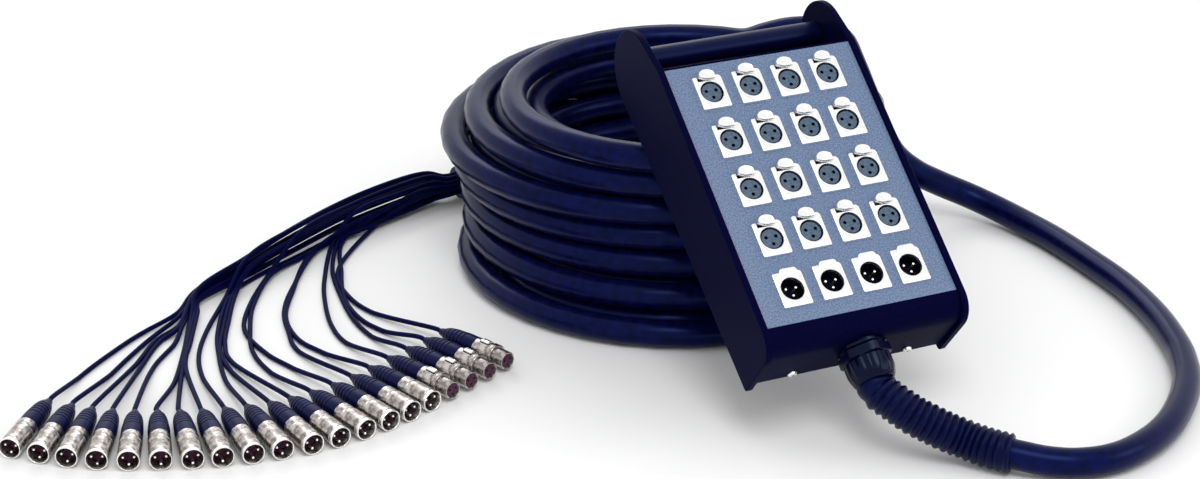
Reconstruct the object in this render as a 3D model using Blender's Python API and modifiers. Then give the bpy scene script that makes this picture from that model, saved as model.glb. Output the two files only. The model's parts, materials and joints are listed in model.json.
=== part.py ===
"""Stage-box multicore snake: a steel stage box with 20 panel jacks, a coiled multicore cable and a
fan-out of 20 thin tails with three-pin plugs.

Metres, +Z up. +X runs along the box's width, the jack panel faces -Y and up, and the floor is z = 0.
"""
import math

import bmesh
import bpy
from mathutils import Matrix, Vector

MM = 0.001
GAP = 0.3 * MM              # clearance that touching pieces keep
BURIED = 0.6 * MM           # how far a joined piece reaches into what it is joined to

# Stage box
PANEL_WIDTH = 175 * MM
PANEL_HEIGHT = 244.5 * MM
PANEL_THICK = 2.0 * MM
RECLINE = math.radians(51.5)        # the panel leans back this far from upright
BOX_LIFT = 48.9 * MM                # lowest corner above the floor, held up by the hose and the coil
BOX_Y = 20.9 * MM                   # panel centre, so that box and hose are centred on the origin
SHEET = 1.6 * MM                    # folded steel of the case
CHEEK_THICK = 6 * MM
CHEEK_PROUD = 2 * MM                # cheek's front edge above the panel's face
CHEEK_BOTTOM = PANEL_HEIGHT / 2 + 23.75 * MM
CHEEK_CORNER = 21 * MM              # rounded lower front corner
CHEEK_HEEL = 3 * MM                 # small rounding at the lower back corner
CHEEK_EDGE = 1 * MM                 # broken edge all round
LOBE_RADIUS = 37.5 * MM             # rounded upper end of a cheek
LOBE_UP = PANEL_HEIGHT / 2 + 25.75 * MM
LOBE_BACK = 43 * MM
LOBE_FROM = 15                      # degrees, where the lobe's round starts above the front edge
DEPTH_BOTTOM = 66 * MM              # panel's face to the back edge, at the cheek's bottom
DEPTH_TOP = 80 * MM                 # and at the lobe
BACK_INSET = 1.5 * MM               # case back inside the cheeks' back edges
CASE_BOTTOM = PANEL_HEIGHT / 2 + 20.25 * MM
CASE_CORNER = 6 * MM
CASE_TOP = PANEL_HEIGHT / 2 + GAP + SHEET
HANDLE_RADIUS = 10.5 * MM
HANDLE_UP = CASE_TOP + 25.3 * MM + HANDLE_RADIUS
HANDLE_BACK = 44 * MM

# Panel jacks
JACK_COLUMNS = 4
INPUT_ROWS = 4
RETURN_ROWS = 1
COLUMN_PITCH = 36.4 * MM
ROW_PITCH = 47 * MM
FLANGE_WIDTH = 26 * MM
FLANGE_HEIGHT = 31 * MM
FLANGE_THICK = 3.4 * MM
FLANGE_CORNER = 3 * MM
JACK_SIDES = 12
JACK_BORE = 10.1 * MM               # radius of the mouth
INSERT_RADIUS = 8.2 * MM            # female insert that the plug's shell slides round
INSERT_SUNK = 1.2 * MM
JACK_DEPTH = 16 * MM                # mouth's depth below the flange's face
BARREL_RADIUS = 12 * MM
BARREL_LENGTH = 20 * MM             # behind the panel
BARREL_SIDES = 8
PIN_RADIUS = 1.2 * MM
PIN_CIRCLE = 4.8 * MM
PIN_LENGTH = 11.5 * MM
CONTACT_RADIUS = 1.6 * MM
CONTACT_DEPTH = 8 * MM
SMALL_SIDES = 6
LEDGE_WIDTH = 16 * MM               # raised lip at the top of a male jack
LEDGE_OVER = 2.6 * MM
LATCH_WIDTH = 15 * MM
LATCH_SHIFT = 1.5 * MM
LATCH_LOW = 11.2 * MM               # jack centre to the latch's lower edge
LATCH_TIP = 20.3 * MM               # and to its rounded tip
LATCH_THICK = 4.4 * MM
LATCH_REST = 2.5 * MM               # underside above the panel before it is pressed

# Gland, screws and hose under the box
GLAND_BACK = 28 * MM                # behind the panel's face
THREAD_RADIUS = 15.4 * MM
THREAD_INSIDE = 10 * MM
LOCKNUT_FLATS = 38 * MM
LOCKNUT_THICK = 4 * MM
GLAND_FLATS = 40 * MM
GLAND_HEX_THICK = 9 * MM
THREAD_OUTSIDE = 9 * MM
DOME_RADIUS = 20 * MM
DOME_LENGTH = 20 * MM
DOME_MOUTH = 16.5 * MM
GLAND_BORE = 13.1 * MM             # the cable runs through
SCREW_SPREAD = 54 * MM              # screw from the centre line
SCREW_BACK = 54 * MM
SCREW_HEAD = 4 * MM
SCREW_HEAD_TALL = 2.4 * MM
SCREW_SHANK = 2 * MM
SCREW_LENGTH = 8 * MM
HOSE_RADIUS = 16.6 * MM
HOSE_VALLEY = 15 * MM
HOSE_BORE = 13.9 * MM
RIB_COUNT = 20
HOSE_SPINE_COUNT = 14
HOSE_STRAIGHT = 7 * MM              # the cable's straight start out of the dome nut
RIB_PITCH = 6.35 * MM

# Multicore cable
CABLE_RADIUS = 12.4 * MM
LAYER_STEP = 26.2 * MM              # one layer of turns above the next
FLOOR_CLEAR = 0.1 * MM
TURN_COUNT = 24
CLIMB_FROM = 39                     # degrees, where the first turn starts to climb a layer
CLIMB_SPAN = 75                     # degrees that a climb takes
CLIMB_CREEP = 3                     # degrees that each climb starts before the one below it
ENTRY_OUT = 30 * MM                 # the first stretch runs this far outside the bottom turn
ENTRY_FROM = 84                     # degrees, where the cable joins the coil
ENTRY_MERGED = -81                  # degrees, where it has drawn in under the second layer
LEAVE_AT = -310                     # degrees, where the top turn leaves for the loop
# Each layer's centre and radius, from the floor up, as the pile was thrown down by hand
LAYERS = (
    (20 * MM, 307 * MM, 194 * MM),
    (25 * MM, 322 * MM, 188 * MM),
    (27 * MM, 334 * MM, 187 * MM),
    (26 * MM, 339 * MM, 190 * MM),
    (20 * MM, 341 * MM, 195 * MM),
    (26 * MM, 325 * MM, 184 * MM),
)
TOP_TURN_X = 16 * MM
TOP_TURN_RADIUS = 155 * MM
CORE_X = 24 * MM
CORE_Y = 327 * MM
CORE_INNER = 110 * MM
CORE_SIDES = 32

# Route of the free cable, from the gland to the top turn: (x, y, z) in millimetres
HOSE_ROUTE = (
    (7, -118, 47), (21, -139, 36), (41, -162, 24.5), (56, -174, 19.0), (72, -185.4, 16.0), (88, -193.5, 15.3),
)
LOOP_ROUTE = (
    (103, -199.5, 14.4), (134, -209, 12.8), (168, -203, 12.6), (201, -184, 12.6), (229, -168, 12.6),
    (255, -151, 12.6), (300, -109, 12.6), (337, -65, 12.6), (362, -9, 12.6), (378, 51, 12.6),
    (382, 109, 12.6), (381, 155, 13.5), (367, 199, 16), (338, 241, 20), (311, 265, 27),
    (290, 280, 37), (272, 291, 48), (258, 304, 64), (250, 321, 90), (243, 341, 118),
    (239, 357, 143), (227, 365, 166), (202, 368, 179), (174, 373, 182),
    (152, 382, 177),
)
LOOP_COUNT = 26

# Fan-out
BOOT_X = -58 * MM
BOOT_Y = 529 * MM
BOOT_TURN = math.radians(190)       # heading of the breakout boot on the floor
BOOT_LENGTH = 60 * MM
BOOT_RADIUS = 17 * MM
TRUNK_RADIUS = 16 * MM
TAIL_RADIUS = 2.4 * MM
TAIL_COUNT = 8
# Route of the bundle: (x, y, z, radius) in millimetres
TRUNK_ROUTE = (
    (-150, 519, 16.9, 16.6), (-188, 506, 16.4, 16.2), (-246, 482, 15.2, 14.8),
    (-307, 448, 13.6, 13.2), (-364, 415, 12.2, 11.6), (-416, 381, 9.6, 9), (-458, 349, 6.6, 6),
)
# Tails from left to right: route points (x, y) in millimetres from the bundle to the plug's boot
TAIL_ROUTES = (
    ((-446, 357), (-484, 355), (-522, 323), (-558, 289), (-580, 265)),
    ((-450, 353), (-476, 342), (-505, 314), (-532, 283), (-560, 252)),
    ((-452, 347), (-480, 329), (-507, 293), (-534, 256)),
    ((-454, 343), (-476, 327), (-500, 293), (-526, 247)),
    ((-448, 349), (-466, 317), (-498, 276), (-520, 239)),
    ((-440, 355), (-462, 301), (-486, 247), (-506, 215)),
    ((-436, 359), (-458, 307), (-477, 257), (-494, 215)),
    ((-432, 361), (-452, 315), (-470, 269), (-481, 217)),
    ((-400, 381), (-430, 335), (-452, 289), (-462, 245), (-465, 205)),
    ((-396, 383), (-424, 325), (-438, 275), (-446, 229), (-449, 203)),
    ((-392, 385), (-418, 329), (-434, 285), (-436, 243), (-432, 205)),
    ((-388, 387), (-410, 339), (-426, 297), (-430, 259), (-420, 221)),
    ((-346, 413), (-378, 365), (-396, 319), (-408, 273), (-406, 229), (-397, 201)),
    ((-350, 411), (-384, 361), (-402, 315), (-398, 265), (-386, 229), (-378, 207)),
    ((-292, 445), (-334, 385), (-357, 341), (-367, 299), (-371, 257), (-363, 217)),
    ((-298, 441), (-338, 375), (-360, 327), (-364, 281), (-352, 245), (-342, 221)),
    ((-270, 457), (-302, 389), (-318, 341), (-328, 295), (-328, 257), (-321, 229)),
    ((-262, 461), (-288, 407), (-300, 351), (-306, 299), (-303, 259), (-299, 239)),
    ((-254, 465), (-284, 393), (-299, 341), (-300, 297), (-290, 265), (-283, 251)),
    ((-214, 483), (-262, 435), (-288, 393), (-294, 349), (-286, 305), (-268, 269)),
)

# Cable plugs, from left to right: mouth (x, y) in millimetres and heading in degrees
PLUG_PLACES = (
    (-644, 175, -126), (-625, 157, -123), (-606, 141, -119), (-585, 127, -114),
    (-562, 115, -109), (-538, 105, -104), (-514, 96, -99), (-491, 89, -95),
    (-467, 84, -91), (-443, 81, -87), (-418, 79, -83), (-394, 81, -79),
    (-370, 85, -76), (-347, 91, -74.5), (-325, 99, -73), (-303, 109, -71),
    (-281, 119, -70), (-260, 129, -70), (-239, 139, -69.5), (-218, 150, -68),
)
MALE_PLUGS = 16
PLUG_SIDES = 12
PLUG_RADIUS = 9.5 * MM
PLUG_LENGTH = 83 * MM
SHELL_LENGTH = 48 * MM
SHOULDER = 1.5 * MM
BOOT_BASE = 7.8 * MM
BOOT_END = 4 * MM
CUP_RADIUS = 8.2 * MM
CUP_DEPTH = 16 * MM
NOSE_RADIUS = 8.0 * MM
NOSE_LENGTH = 13 * MM
NOSE_HOLE = 6 * MM
RING_LENGTH = 6 * MM
RING_RADIUS = 10.2 * MM
BUTTON_LENGTH = 10 * MM
BUTTON_WIDTH = 5.4 * MM
BUTTON_TALL = 3.2 * MM
BUTTON_FROM = 21 * MM               # plug's mouth to the front of the latch button
BUTTON_SUNK = 7.9 * MM              # the button's underside above the plug's axis
BUTTON_TRAVEL = 1.0 * MM            # room under the button

NAVY = (0.012, 0.018, 0.055)
SLATE = (0.115, 0.165, 0.34)
NICKEL = (0.72, 0.71, 0.68)


# Helpers

def clear_scene():
    for item in list(bpy.data.objects):
        bpy.data.objects.remove(item, do_unlink=True)


def make_material(name, colour, roughness, metallic):
    made = bpy.data.materials.new(name)
    made.use_nodes = True
    shader = made.node_tree.nodes["Principled BSDF"]
    shader.inputs["Base Color"].default_value = (*colour, 1)
    shader.inputs["Roughness"].default_value = roughness
    shader.inputs["Metallic"].default_value = metallic
    return made


def make_materials():
    return {
        "case": make_material("case_paint", NAVY, 0.45, 0.0),
        "panel": make_material("panel_paint", SLATE, 0.5, 0.0),
        "nickel": make_material("nickel_plate", NICKEL, 0.3, 1.0),
        "rubber": make_material("cable_jacket", NAVY, 0.55, 0.0),
        "plastic": make_material("black_plastic", (0.02, 0.025, 0.06), 0.5, 0.0),
    }


def make_collection(name):
    made = bpy.data.collections.new(name)
    bpy.context.scene.collection.children.link(made)
    return made


def place(obj, collection, material=None, parent=None, at=(0, 0, 0), turn=None):
    collection.objects.link(obj)
    if material is not None:
        obj.data.materials.clear()
        obj.data.materials.append(material)
    obj.parent = parent
    obj.location = at
    if turn is not None:
        obj.rotation_euler = turn
    return obj


def hide_cutter(obj):
    obj.hide_render = True
    obj.display_type = "WIRE"
    return obj


def arc(centre, radius, start, end, count):
    """Points of an arc from start to end degrees, both included."""
    points = []
    for step in range(count + 1):
        angle = math.radians(start + (end - start) * step / count)
        points.append((centre[0] + radius * math.cos(angle), centre[1] + radius * math.sin(angle)))
    return points


def outline_object(name, points, thickness):
    """A flat plate with the given outline, centred on its local XY plane."""
    curve = bpy.data.curves.new(name, "CURVE")
    curve.dimensions = "2D"
    curve.fill_mode = "BOTH"
    curve.extrude = thickness / 2
    spline = curve.splines.new("POLY")
    spline.points.add(len(points) - 1)
    for slot, (x, y) in zip(spline.points, points):
        slot.co = (x, y, 0, 1)
    spline.use_cyclic_u = True
    return bpy.data.objects.new(name, curve)


def tube_object(name, points, radius, sides_setting, radii=None):
    """A round tube along points, with closed ends."""
    curve = bpy.data.curves.new(name, "CURVE")
    curve.dimensions = "3D"
    curve.bevel_depth = radius
    curve.bevel_resolution = sides_setting
    curve.use_fill_caps = True
    curve.twist_mode = "MINIMUM"
    spline = curve.splines.new("POLY")
    spline.points.add(len(points) - 1)
    for index, point in enumerate(points):
        spline.points[index].co = (*point, 1)
        if radii is not None:
            spline.points[index].radius = radii[index] / radius
    return bpy.data.objects.new(name, curve)


def solid_mesh(curve_object, scratch):
    """The curve object's closed mesh, with its caps welded. The curve object is removed."""
    scratch.objects.link(curve_object)
    bpy.context.view_layer.update()
    graph = bpy.context.evaluated_depsgraph_get()
    mesh = bpy.data.meshes.new_from_object(curve_object.evaluated_get(graph))
    shape = bmesh.new()
    shape.from_mesh(mesh)
    bmesh.ops.remove_doubles(shape, verts=shape.verts, dist=0.00001)
    bmesh.ops.recalc_face_normals(shape, faces=shape.faces)
    shape.to_mesh(mesh)
    shape.free()
    data = curve_object.data
    bpy.data.objects.remove(curve_object, do_unlink=True)
    bpy.data.curves.remove(data)
    return mesh


def cone_mesh(name, sides, low_radius, high_radius, length, matrix=None):
    """A closed cone or cylinder from z = 0 to z = length."""
    shape = bmesh.new()
    bmesh.ops.create_cone(
        shape, cap_ends=True, segments=sides, radius1=low_radius, radius2=high_radius, depth=length,
        matrix=Matrix.Translation((0, 0, length / 2)),
    )
    if matrix is not None:
        bmesh.ops.transform(shape, matrix=matrix, verts=shape.verts)
    mesh = bpy.data.meshes.new(name)
    shape.to_mesh(mesh)
    shape.free()
    return mesh


def box_mesh(name, low, high):
    shape = bmesh.new()
    size = [b - a for a, b in zip(low, high)]
    centre = [(a + b) / 2 for a, b in zip(low, high)]
    matrix = Matrix.Translation(centre) @ Matrix.Diagonal((*size, 1))
    bmesh.ops.create_cube(shape, size=1, matrix=matrix)
    mesh = bpy.data.meshes.new(name)
    shape.to_mesh(mesh)
    shape.free()
    return mesh


def combine(target_mesh, other_mesh, operation, scratch, matrix=None):
    """The result of a Boolean of two meshes, as a new mesh."""
    target = bpy.data.objects.new("target", target_mesh)
    other = bpy.data.objects.new("other", other_mesh)
    if matrix is not None:
        other.matrix_world = matrix
    for item in (target, other):
        scratch.objects.link(item)
    change = target.modifiers.new("combine", "BOOLEAN")
    change.operation = operation
    change.solver = "EXACT"
    change.object = other
    bpy.context.view_layer.update()
    graph = bpy.context.evaluated_depsgraph_get()
    result = bpy.data.meshes.new_from_object(target.evaluated_get(graph))
    for item in (target, other):
        bpy.data.objects.remove(item, do_unlink=True)
    return result


def turned_mesh(name, profile, sides, scratch):
    """A solid turned round its local Z axis from (radius, z) points, top to bottom."""
    mesh = bpy.data.meshes.new(name)
    edges = [(i, i + 1) for i in range(len(profile) - 1)]
    mesh.from_pydata([(r, 0, z) for r, z in profile], edges, [])
    item = bpy.data.objects.new(name, mesh)
    scratch.objects.link(item)
    screw = item.modifiers.new("turn", "SCREW")
    screw.steps = sides
    screw.render_steps = sides
    screw.use_merge_vertices = True
    screw.merge_threshold = 0.00001
    bpy.context.view_layer.update()
    graph = bpy.context.evaluated_depsgraph_get()
    result = bpy.data.meshes.new_from_object(item.evaluated_get(graph))
    bpy.data.objects.remove(item, do_unlink=True)
    shape = bmesh.new()
    shape.from_mesh(result)
    bmesh.ops.remove_doubles(shape, verts=shape.verts, dist=0.00001)
    bmesh.ops.recalc_face_normals(shape, faces=shape.faces)
    shape.to_mesh(result)
    shape.free()
    return result


def smooth_route(points, count):
    """count points, evenly spaced along a smooth curve through the given points."""
    fine = []
    for index in range(len(points) - 1):
        before = points[max(index - 1, 0)]
        start = points[index]
        end = points[index + 1]
        after = points[min(index + 2, len(points) - 1)]
        for step in range(12):
            t = step / 12
            fine.append(
                0.5 * (2 * start + (end - before) * t
                       + (2 * before - 5 * start + 4 * end - after) * t * t
                       + (3 * start - before - 3 * end + after) * t ** 3)
            )
    fine.append(points[-1])
    reach = [0.0]
    for a, b in zip(fine, fine[1:]):
        reach.append(reach[-1] + (b - a).length)
    result = []
    place_in = 0
    for step in range(count):
        wanted = reach[-1] * step / (count - 1)
        while place_in < len(fine) - 2 and reach[place_in + 1] < wanted:
            place_in += 1
        run = reach[place_in + 1] - reach[place_in]
        share = (wanted - reach[place_in]) / run
        result.append(fine[place_in].lerp(fine[place_in + 1], share))
    return result


def vector_mm(values):
    return Vector(values[:3]) * MM


def shade(obj, degrees=35):
    obj.data.shade_smooth()
    obj.data.set_sharp_from_angle(angle=math.radians(degrees))


# Stage box. Local axes: x to the right, y up the panel, z out of the panel's face.

def back_lean():
    """Angle between the back edge and the panel."""
    return math.atan((DEPTH_BOTTOM - DEPTH_TOP) / (CHEEK_BOTTOM + LOBE_UP))


def back_depth(up):
    """Depth of the cheeks' back edge below the panel's face at a height up the panel."""
    return DEPTH_TOP + (LOBE_UP - up) * math.tan(back_lean())


def box_height():
    """World height of the panel's centre, from the lowest corner's lift."""
    drop = CHEEK_BOTTOM * math.cos(RECLINE) + back_depth(-CHEEK_BOTTOM) * math.sin(RECLINE)
    return BOX_LIFT + drop


def make_box_frame(collection):
    frame = bpy.data.objects.new("box_frame", None)
    frame.location = (0, BOX_Y, box_height())
    frame.rotation_euler = (math.pi / 2 - RECLINE, 0, 0)
    collection.objects.link(frame)
    bpy.context.view_layer.update()
    return frame


def cheek_outline():
    """Side outline as (local z, local y)."""
    lean = math.degrees(back_lean())
    corner_centre = (CHEEK_PROUD - CHEEK_CORNER, CHEEK_CORNER - CHEEK_BOTTOM)
    lobe_centre = (-LOBE_BACK, LOBE_UP)
    heel_centre = (CHEEK_HEEL - back_depth(CHEEK_HEEL - CHEEK_BOTTOM), CHEEK_HEEL - CHEEK_BOTTOM)
    points = arc(corner_centre, CHEEK_CORNER, -90, 0, 8)
    points.append((CHEEK_PROUD, PANEL_HEIGHT / 2))
    points += arc(lobe_centre, LOBE_RADIUS, LOBE_FROM, 180 - lean, 14)
    points += arc(heel_centre, CHEEK_HEEL, 180 - lean, 270, 3)
    return points


def cheek_centre():
    return PANEL_WIDTH / 2 + GAP + CHEEK_THICK / 2


def make_cheeks(frame, parts, materials, scratch):
    for name, side in (("left_cheek", -1), ("right_cheek", 1)):
        mesh = solid_mesh(outline_object(name, cheek_outline(), CHEEK_THICK), scratch)
        cheek = bpy.data.objects.new(name, mesh)
        place(cheek, parts, materials["case"], frame, (side * cheek_centre(), 0, 0), (0, -math.pi / 2, 0))
        edge = cheek.modifiers.new("edge", "BEVEL")
        edge.width = CHEEK_EDGE
        edge.segments = 1
        edge.limit_method = "ANGLE"
        edge.angle_limit = math.radians(60)


def case_path(inset):
    """One face of the folded sheet, from the panel's top edge round the back to its bottom edge."""
    top = CASE_TOP - inset
    bottom = -CASE_BOTTOM + inset
    corner = CASE_CORNER - inset
    lean = math.degrees(back_lean())
    roll = CASE_BOTTOM - PANEL_HEIGHT / 2 - GAP
    top_z = -back_depth(top) + BACK_INSET + CASE_CORNER
    low_z = -back_depth(bottom) + BACK_INSET + CASE_CORNER
    points = [(0, top)]
    points += arc((top_z, CASE_TOP - CASE_CORNER), corner, 90, 180 - lean, 3)
    points += arc((low_z, CASE_CORNER - CASE_BOTTOM), corner, 180 - lean, 270, 3)
    points += arc((-roll, -PANEL_HEIGHT / 2 - GAP), roll - inset, 270, 360, 6)
    return points


def make_case(frame, parts, materials, scratch):
    outline = case_path(0) + case_path(SHEET)[::-1]
    mesh = solid_mesh(outline_object("case_shell", outline, PANEL_WIDTH), scratch)
    case = bpy.data.objects.new("case_shell", mesh)
    place(case, parts, materials["case"], frame, (0, 0, 0), (0, -math.pi / 2, 0))
    holes = [((0, -GLAND_BACK), THREAD_RADIUS + GAP)]
    for side in (-1, 1):
        holes.append(((side * SCREW_SPREAD, -SCREW_BACK), SCREW_SHANK + GAP))
    for index, ((x, z), radius) in enumerate(holes):
        cutter = bpy.data.objects.new(f"case_hole_{index}", cone_mesh("case_hole", 16, radius, radius, 12 * MM))
        place(cutter, scratch, None, frame, (x, -CASE_BOTTOM - 6 * MM, z), (-math.pi / 2, 0, 0))
        hide_cutter(cutter)
        cut = case.modifiers.new("hole", "BOOLEAN")
        cut.operation = "DIFFERENCE"
        cut.object = cutter


def make_handle(frame, parts, materials):
    half = PANEL_WIDTH / 2
    mesh = cone_mesh("handle_tube", 20, HANDLE_RADIUS, HANDLE_RADIUS, PANEL_WIDTH)
    handle = bpy.data.objects.new("handle_tube", mesh)
    place(handle, parts, materials["case"], frame, (-half, HANDLE_UP, -HANDLE_BACK), (0, math.pi / 2, 0))
    shade(handle)


# Panel jacks

def jack_places():
    """Jack centres on the panel, row by row from the top: (x, y, is_input)."""
    rows = INPUT_ROWS + RETURN_ROWS
    for row in range(rows):
        for column in range(JACK_COLUMNS):
            x = (column - (JACK_COLUMNS - 1) / 2) * COLUMN_PITCH
            y = ((rows - 1) / 2 - row) * ROW_PITCH
            yield x, y, row < INPUT_ROWS


def flange_outline():
    half_x = FLANGE_WIDTH / 2
    half_y = FLANGE_HEIGHT / 2
    points = []
    for start, x, y in ((0, 1, 1), (90, -1, 1), (180, -1, -1), (270, 1, -1)):
        centre = (x * (half_x - FLANGE_CORNER), y * (half_y - FLANGE_CORNER))
        points += arc(centre, FLANGE_CORNER, start, start + 90, 1)
    return points


def pin_places():
    """Three contacts in a triangle, the lone one towards the bottom."""
    for angle in (-90, 20, 160):
        turn = math.radians(angle)
        yield PIN_CIRCLE * math.cos(turn), PIN_CIRCLE * math.sin(turn)


def latch_outline(clearance):
    half = LATCH_WIDTH / 2 + clearance
    low = LATCH_LOW - clearance
    shoulder = LATCH_TIP - 5 * MM
    points = [(LATCH_SHIFT - half, low), (LATCH_SHIFT + half, low)]
    for step in range(7):
        angle = math.pi * step / 6
        points.append((LATCH_SHIFT + half * math.cos(angle), shoulder + 5 * MM * math.sin(angle)))
    return points


def jack_body(scratch):
    """Flange and barrel, without its mouth."""
    flange = solid_mesh(outline_object("flange", flange_outline(), FLANGE_THICK + BURIED), scratch)
    lift = Matrix.Translation((0, 0, (FLANGE_THICK - BURIED) / 2))
    flange.transform(lift)
    drop = Matrix.Translation((0, 0, -PANEL_THICK - BARREL_LENGTH))
    barrel = cone_mesh("barrel", BARREL_SIDES, BARREL_RADIUS, BARREL_RADIUS, BARREL_LENGTH + PANEL_THICK, drop)
    return combine(flange, barrel, "UNION", scratch)


def female_jack_mesh(scratch):
    """An input jack: round mouth with an insert in it, three contact holes and a notch for the latch."""
    body = jack_body(scratch)
    floor = Matrix.Translation((0, 0, FLANGE_THICK - JACK_DEPTH))
    mouth = cone_mesh("mouth", JACK_SIDES, JACK_BORE, JACK_BORE, JACK_DEPTH + 1 * MM, floor)
    insert_top = JACK_DEPTH - INSERT_SUNK
    root = Matrix.Translation((0, 0, FLANGE_THICK - JACK_DEPTH - 1 * MM))
    insert = cone_mesh("insert", JACK_SIDES, INSERT_RADIUS, INSERT_RADIUS, insert_top + 1 * MM, root)
    mouth = combine(mouth, insert, "DIFFERENCE", scratch)
    body = combine(body, mouth, "DIFFERENCE", scratch)
    face = FLANGE_THICK - INSERT_SUNK
    for x, y in pin_places():
        sink = Matrix.Translation((x, y, face - CONTACT_DEPTH))
        hole = cone_mesh("contact", SMALL_SIDES, CONTACT_RADIUS, CONTACT_RADIUS, CONTACT_DEPTH + 1 * MM, sink)
        body = combine(body, hole, "DIFFERENCE", scratch)
    slot = solid_mesh(outline_object("slot", latch_outline(GAP), 10 * MM), scratch)
    slot.transform(Matrix.Translation((0, 0, 5 * MM)))
    return combine(body, slot, "DIFFERENCE", scratch)


def male_jack_mesh(scratch):
    """A return jack: round cup with three pins, and a raised lip at the top of its flange."""
    body = jack_body(scratch)
    half = LEDGE_WIDTH / 2
    edge = FLANGE_HEIGHT / 2
    ledge = box_mesh(
        "ledge", (LATCH_SHIFT - half, edge - 3 * MM, -BURIED),
        (LATCH_SHIFT + half, edge + LEDGE_OVER, FLANGE_THICK + 1.2 * MM),
    )
    body = combine(body, ledge, "UNION", scratch)
    floor = FLANGE_THICK - JACK_DEPTH
    cup = cone_mesh("cup", JACK_SIDES, JACK_BORE, JACK_BORE, JACK_DEPTH + 1 * MM, Matrix.Translation((0, 0, floor)))
    body = combine(body, cup, "DIFFERENCE", scratch)
    for x, y in pin_places():
        root = Matrix.Translation((x, y, floor - BURIED))
        pin = cone_mesh("pin", SMALL_SIDES, PIN_RADIUS, PIN_RADIUS * 0.8, PIN_LENGTH + BURIED, root)
        body = combine(body, pin, "UNION", scratch)
    return body


def make_panel(frame, parts, materials, scratch):
    half_x = PANEL_WIDTH / 2
    half_y = PANEL_HEIGHT / 2
    plate = box_mesh("panel", (-half_x, -half_y, -PANEL_THICK), (half_x, half_y, 0))
    female = female_jack_mesh(scratch)
    male = male_jack_mesh(scratch)
    clear = cone_mesh(
        "mouth_clear", JACK_SIDES, JACK_BORE + 0.4 * MM, JACK_BORE + 0.4 * MM, PANEL_THICK + 2 * MM,
        Matrix.Translation((0, 0, -PANEL_THICK - 1 * MM)),
    )
    for x, y, is_input in jack_places():
        at = Matrix.Translation((x, y, 0))
        plate = combine(plate, clear, "DIFFERENCE", scratch, at)
        plate = combine(plate, female if is_input else male, "UNION", scratch, at)
    panel = bpy.data.objects.new("connector_panel", plate)
    place(panel, parts, materials["panel"], frame)
    plate.materials.append(materials["nickel"])
    for face in plate.polygons:
        on_plate = face.center.z < 0.01 * MM
        face.material_index = 0 if on_plate else 1


def make_input_latches(frame, parts, materials, scratch):
    mesh = solid_mesh(outline_object("input_latch", latch_outline(0), LATCH_THICK), scratch)
    number = 0
    for x, y, is_input in jack_places():
        if not is_input:
            continue
        number += 1
        latch = bpy.data.objects.new(f"input_latch_{number:02d}", mesh)
        place(latch, parts, materials["nickel"], frame, (x, y, LATCH_REST + LATCH_THICK / 2))


def make_harness(frame, parts, materials, scratch):
    """Wire loom from the gland up the inside of the case, behind the jacks."""
    back = -PANEL_THICK - BARREL_LENGTH - 7 * MM
    top = 1.5 * ROW_PITCH
    points = [
        Vector((0, -CASE_BOTTOM + SHEET + THREAD_INSIDE + 2 * GAP, -GLAND_BACK)),
        Vector((0, -CASE_BOTTOM + SHEET + THREAD_INSIDE + 8 * MM, -GLAND_BACK)),
        Vector((0, -1.8 * ROW_PITCH, back)),
        Vector((0, -ROW_PITCH, back)),
        Vector((0, 0, back)),
        Vector((0, top, back)),
    ]
    harness = tube_object("inner_harness", smooth_route(points, 12), 6 * MM, 2)
    place(harness, parts, materials["rubber"], frame)


# Gland, screws and hose. Turned pieces lie on the gland's axis, which runs down the panel.

def hex_mesh(name, flats, thick, bore, scratch):
    radius = flats / 2 / math.cos(math.pi / 6)
    body = cone_mesh(name, 6, radius, radius, thick)
    if bore:
        drop = Matrix.Translation((0, 0, -1 * MM))
        hole = cone_mesh("bore", 16, bore, bore, thick + 2 * MM, drop)
        body = combine(body, hole, "DIFFERENCE", scratch)
    return body


def gland_stations():
    """Distances down the panel from its centre, for each face of the gland's pieces."""
    wall_out = CASE_BOTTOM
    nut_top = wall_out + GAP
    nut_end = nut_top + LOCKNUT_THICK
    hex_top = nut_end + GAP
    hex_end = hex_top + GLAND_HEX_THICK
    dome_top = hex_end + GAP
    dome_end = dome_top + DOME_LENGTH
    return {
        "thread_top": CASE_BOTTOM - SHEET - THREAD_INSIDE, "nut_top": nut_top, "hex_top": hex_top,
        "hex_end": hex_end, "thread_end": hex_end + THREAD_OUTSIDE, "dome_top": dome_top, "dome_end": dome_end,
    }


def place_on_gland(name, mesh, down, frame, parts, material):
    """Local +Z of the mesh points down the panel."""
    item = bpy.data.objects.new(name, mesh)
    return place(item, parts, material, frame, (0, -down, -GLAND_BACK), (math.pi / 2, 0, 0))


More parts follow.
